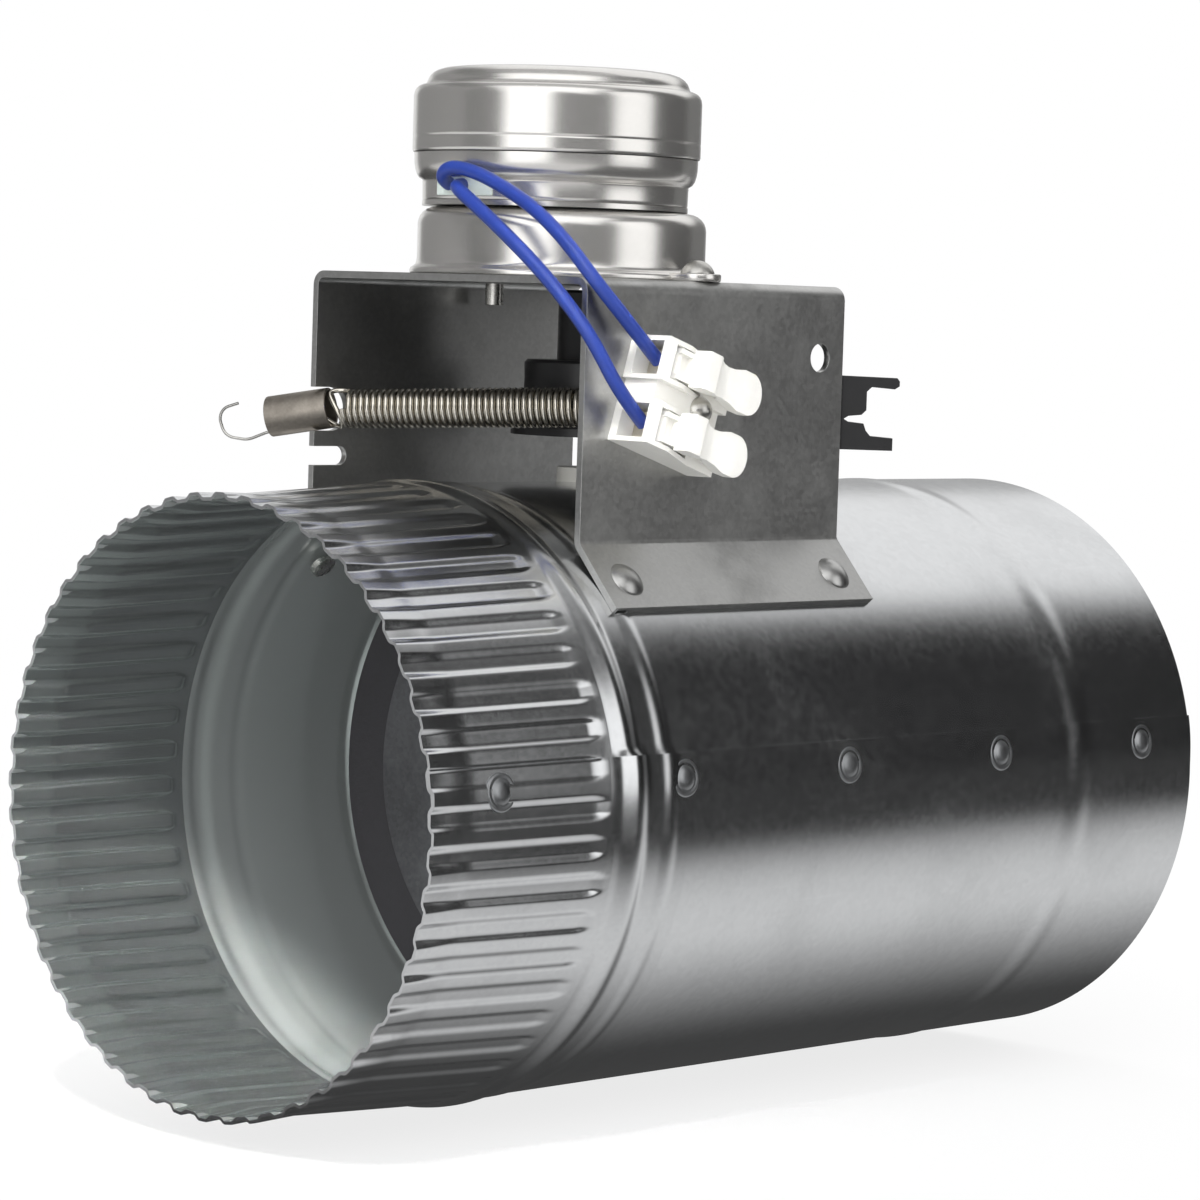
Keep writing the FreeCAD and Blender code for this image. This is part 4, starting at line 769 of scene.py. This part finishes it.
# The far hook in (along, up, aside) steps from the anchor, along the straight coil's own axes
farHook = ((4.7, 2.9, 0.4), (4.2, 3.0, 0.0), (3.2, 3.1, -0.2), (1.8, 3.1, 0.3), (1.2, 2.6, 0.9),
           (1.9, 1.4, 1.6), (3.0, -0.4, 1.9), (3.7, -1.9, 1.6), (3.6, -3.0, 0.8), (2.6, -3.1, 0.0),
           (1.2, -2.4, 0.0), (0.0, -1.6, 0.0))


def hookPoints(sizes, steps):
    anchor = at(*sizes["anchor"])
    inward = (springTangent - anchor).normalized()
    aside = Vector((inward.y, -inward.x, 0)).normalized()
    rise = aside.cross(inward)
    return [anchor + (inward * along + rise * up + aside * out) * mm for along, up, out in steps]


hook = wireCurve("farHook", hookPoints(springSizes, farHook), springSizes["hookWire"], order=4, roundness=4)
bodyPiece("farHook", smoothed(asMesh(hook), 60), springWire, "duct", "spring_steel")
print("spring wound")


# Pieces that keep their CAD shape, with softened edges

edgeSizes = {"flatAngle": 1.0, "edgeAngle": 30.0, "segments": 2, "flatWeight": 80}


# A copy of a solid with its sharp edges rounded off
def softened(node, width, sizes):
    work = bmesh.new()
    work.from_mesh(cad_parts[node].data)
    bmesh.ops.remove_doubles(work, verts=work.verts, dist=mergeReach)
    bmesh.ops.dissolve_limit(work, angle_limit=math.radians(sizes["flatAngle"]), verts=work.verts,
                             edges=work.edges)
    mesh = modified(meshFrom(work, node + "Soft"), "BEVEL", width=width * mm, segments=sizes["segments"],
                    limit_method="ANGLE", angle_limit=math.radians(sizes["edgeAngle"]))
    return modified(smoothed(mesh), "WEIGHTED_NORMAL", keep_sharp=True, weight=sizes["flatWeight"])


for node, material, body, slot, width in (
        ("motor_bracket", plateZinc, "duct", "zinc_bracket", 0.25),
        ("anchor_sleeve", sleeveSteel, "duct", "dark_sleeve", 0.12),
        ("lead_bush", paleInsert, "duct", "pale_moulding", 0.15),
        ("motor_screws", platedSteel, "duct", "plated_steel", 0.1),
        ("terminal_body", whiteMoulding, "duct", "terminal_plastic", 0.16),
        ("terminal_screw", platedSteel, "duct", "plated_steel", 0.1),
        ("upper_terminal_lever", whiteMoulding, "upper_lever", "terminal_plastic", 0.25),
        ("lower_terminal_lever", whiteMoulding, "lower_lever", "terminal_plastic", 0.25),
        ("drive_lever", blackMoulding, "blade", "black_plastic", 0.2),
        ("blade_front_plate", paintedShadeBladePlate, "blade", "galvanized_duct", 0.12),
        ("blade_gasket", blackSheet, "blade", "black_rubber", 0.12),
        ("blade_back_plate", ductZinc, "blade", "galvanized_duct", 0.12)):
    bodyPiece(node + "Dressed", softened(node, width, edgeSizes), material, body, slot, node)

# Finishes of the CAD nodes themselves, shown or hidden; the others get the plate's
nodeFinishes = {
    "bracket_rivets": platedSteel, "upper_bushing": nylonNatural, "lower_bushing": nylonNatural,
    "tie_wire": platedSteel, "cluster_pin": platedSteel, "lower_pole_plate": motorSteel,
    "bobbin": nylonNatural, "stator_coil": copperWire, "upper_pole_plate": motorSteel,
    "contact_clips": brassStrip,
    "blade_shaft": platedSteel, "blade_screws": platedSteel, "lever_set_screw": platedSteel,
    "output_gear": nylonNatural, "cluster_gear": nylonNatural, "rotor": ferrite, "return_spring": springWire,
    "duct_shell": ductZinc, "seam_buttons": ductZinc, "mid_plate": motorSteel, "motor_band": motorSteel,
    "motor_can": motorSteel, "upper_lead": blueJacket, "lower_lead": blueJacket}
for node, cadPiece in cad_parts.items():
    coat(cadPiece.data, nodeFinishes.get(node, plateZinc))
print("pieces dressed")


# Floor, backdrop and light

# For glossy rays the floor is painted light: under is the painted shadow under the duct, sheen the painted
# strip of light beside it, aheadTone the painted light ahead of it
floorSizes = {"z": -0.0535, "half": 1.0, "base": (0.86, 0.86, 0.86, 1), "roughness": 0.9, "glow": 0.80,
              "near": 0.09, "far": 0.34, "middle": -0.095, "stretch": 0.6,
              "rise": (0.022, 0.072), "under": 0.06, "sheen": 0.76, "fall": (0.075, 0.21), "edgeShare": 0.05,
              "ahead": (-0.30, -0.20), "aheadTone": 0.7}


# A pale floor that turns pure white away from the object; for glossy rays it shows the metal one soft strip
# of painted light, with painted shadow under the duct
def makeFloor(sizes):
    mesh = bpy.data.meshes.new("floor")
    half, z = sizes["half"], sizes["z"]
    corners = [(-half, -half, z), (half, -half, z), (half, half, z), (-half, half, z)]
    mesh.from_pydata(corners, [], [(0, 1, 2, 3)])
    material = bpy.data.materials.new("paleFloor")
    material.use_nodes = True
    tree = material.node_tree
    surface = tree.nodes["Principled BSDF"]
    surface.inputs["Roughness"].default_value = sizes["roughness"]
    surface.inputs["Base Color"].default_value = sizes["base"]
    spot = tree.nodes.new("ShaderNodeTexCoord").outputs["Object"]
    place = put(tree, "ShaderNodeSeparateXYZ", {0: spot}).outputs
    along = times(tree, minus(tree, place[0], sizes["middle"]), sizes["stretch"])
    reach = calc(tree, "SQRT", plus(tree, times(tree, along, along), times(tree, place[1], place[1])))
    aside = calc(tree, "ABSOLUTE", place[1])
    # Painted shadow under the duct rising to a painted strip of light, which fades away to the sides
    paintedStrip = times(tree, span(tree, aside, *sizes["rise"], sizes["under"], sizes["sheen"]),
                  span(tree, aside, *sizes["fall"], 1.0, sizes["edgeShare"]))
    # Painted light on the floor ahead of the duct
    ahead = span(tree, place[0], *sizes["ahead"], sizes["aheadTone"], 0.0)
    sheen = put(tree, "ShaderNodeEmission", {"Color": (1, 1, 1, 1),
                                             "Strength": calc(tree, "MAXIMUM", paintedStrip, ahead)})
    light = tree.nodes.new("ShaderNodeLightPath").outputs
    mirrored = put(tree, "ShaderNodeMixShader", {0: light["Is Glossy Ray"], 1: surface.outputs[0],
                                                 2: sheen.outputs[0]})
    glow = put(tree, "ShaderNodeEmission", {"Color": (1, 1, 1, 1), "Strength": 1.0})
    white = span(tree, reach, sizes["near"], sizes["far"], sizes["glow"], 1.0)
    shown = put(tree, "ShaderNodeMixShader", {0: times(tree, light["Is Camera Ray"], white),
                                              1: mirrored.outputs[0], 2: glow.outputs[0]})
    plug(tree, shown.outputs[0], tree.nodes["Material Output"].inputs["Surface"])
    mesh.materials.append(material)
    placed("floor", mesh)


# Soft boxes by direction: azimuth and elevation of the middle, half width and height, edge, tone
softBoxes = {"crownBox": (21, 45, 0.38, 0.31, 0.22, 1.0), "backGlow": (57, 0, 0.17, 0.16, 0.16, 0.95),
             "farRise": (50, 14, 0.30, 0.24, 0.24, 0.42), "openingFill": (215, 46, 0.46, 0.26, 0.26, 1.4),
             "leftLamp": (200, 4, 0.23, 0.45, 0.21, 1.7), "frontLamp": (287, 2, 0.21, 0.45, 0.20, 1.3),
             "sideFill": (108, 6, 0.50, 0.40, 0.30, 0.22)}
studioTones = {"ambient": 0.13, "darkCorner": (326, 12, 0.32, 0.34, 0.14, 0.115), "zenithBand": (0.72, 0.95),
               "zenith": 0.45}


# The directions of a soft box's middle, its side and its rise
def aimed(azimuth, elevation):
    turn, rise = math.radians(azimuth), math.radians(elevation)
    center = Vector((math.cos(turn) * math.cos(rise), math.sin(turn) * math.cos(rise), math.sin(rise)))
    side = Vector((-math.sin(turn), math.cos(turn), 0))
    return center, side, center.cross(side)


def softBoxGroup():
    tree, given, out = newTree("softBox", "ShaderNodeTree", [
        ("Direction", "NodeSocketVector", None), ("Center", "NodeSocketVector", None),
        ("Side", "NodeSocketVector", None), ("Rise", "NodeSocketVector", None),
        ("Half Width", "NodeSocketFloat", 0.3), ("Half Height", "NodeSocketFloat", 0.3),
        ("Edge", "NodeSocketFloat", 0.2), ("Tone", "NodeSocketFloat", 1.0)], [("Tone", "NodeSocketFloat")])

    def toward(label):
        return put(tree, "ShaderNodeVectorMath", {0: given["Direction"], 1: given[label]},
                   operation="DOT_PRODUCT").outputs["Value"]

    def inside(label, half):
        away = calc(tree, "ABSOLUTE", toward(label))
        return span(tree, away, half, plus(tree, half, given["Edge"]), 1.0, 0.0)

    ahead = span(tree, toward("Center"), 0.0, 0.1)
    mask = times(tree, inside("Side", given["Half Width"]), inside("Rise", given["Half Height"]))
    plug(tree, times(tree, times(tree, mask, ahead), given["Tone"]), out["Tone"])
    return tree


# A studio for the metal to show, and plain white for the camera
def makeWorld(boxes, tones):
    world = bpy.data.worlds.new("studio")
    bpy.context.scene.world = world
    world.use_nodes = True
    tree = world.node_tree
    tree.nodes.clear()
    direction = tree.nodes.new("ShaderNodeTexCoord").outputs["Generated"]
    group = softBoxGroup()

    def box(azimuth, elevation, halfWidth, halfHeight, edge, tone):
        center, side, rise = aimed(azimuth, elevation)
        node = put(tree, "ShaderNodeGroup", node_tree=group)
        for label, value in (("Direction", direction), ("Center", center), ("Side", side), ("Rise", rise),
                             ("Half Width", halfWidth), ("Half Height", halfHeight), ("Edge", edge),
                             ("Tone", tone)):
            plug(tree, value, node.inputs[label])
        return node.outputs[0]

    tone = minus(tree, tones["ambient"], box(*tones["darkCorner"]))
    for values in boxes.values():
        tone = calc(tree, "MAXIMUM", tone, box(*values))
    height = put(tree, "ShaderNodeSeparateXYZ", {0: direction}).outputs[2]
    tone = calc(tree, "MAXIMUM", tone, span(tree, height, *tones["zenithBand"], 0.0, tones["zenith"]))
    light = put(tree, "ShaderNodeBackground", {"Color": (1, 1, 1, 1), "Strength": tone})
    white = put(tree, "ShaderNodeBackground", {"Color": (1, 1, 1, 1), "Strength": 1.0})
    seen = tree.nodes.new("ShaderNodeLightPath").outputs["Is Camera Ray"]
    mix = put(tree, "ShaderNodeMixShader", {0: seen, 1: light.outputs[0], 2: white.outputs[0]})
    plug(tree, mix.outputs[0], put(tree, "ShaderNodeOutputWorld").inputs["Surface"])


# Lamps for the matt pieces: place, size and watts, and for the last its target and spread
lamps = {"overhead": ((-0.25, -0.15, 1.25), (1.2, 1.2), 5.2),
         "fromCamera": ((-0.95, -0.75, 0.55), (0.8, 0.8), 5.0),
         "fromRight": ((0.75, -0.35, 0.6), (0.6, 0.6), 3.0),
         "fromBehind": ((0.1, 0.95, 0.6), (0.8, 0.8), 4.0),
         "intoMouth": ((-0.55, -0.27, 0.60), (0.12, 0.12), 0.095, (-0.162, 0.02, -0.02), 13)}


def areaLight(name, place, size, power, target=(-0.1, 0, 0.02), spread=180):
    data = bpy.data.lights.new(name, "AREA")
    data.shape = "RECTANGLE"
    data.size, data.size_y = size
    data.energy = power
    data.spread = math.radians(spread)
    light = placed(name, data)
    facing = (Vector(place) - Vector(target)).to_track_quat("Z", "Y")
    light.matrix_world = Matrix.Translation(place) @ facing.to_matrix().to_4x4()
    light.visible_glossy = False  # the metal shows the soft boxes instead


makeFloor(floorSizes)
makeWorld(softBoxes, studioTones)
for name, values in lamps.items():
    areaLight(name, *values)
print("stage set")
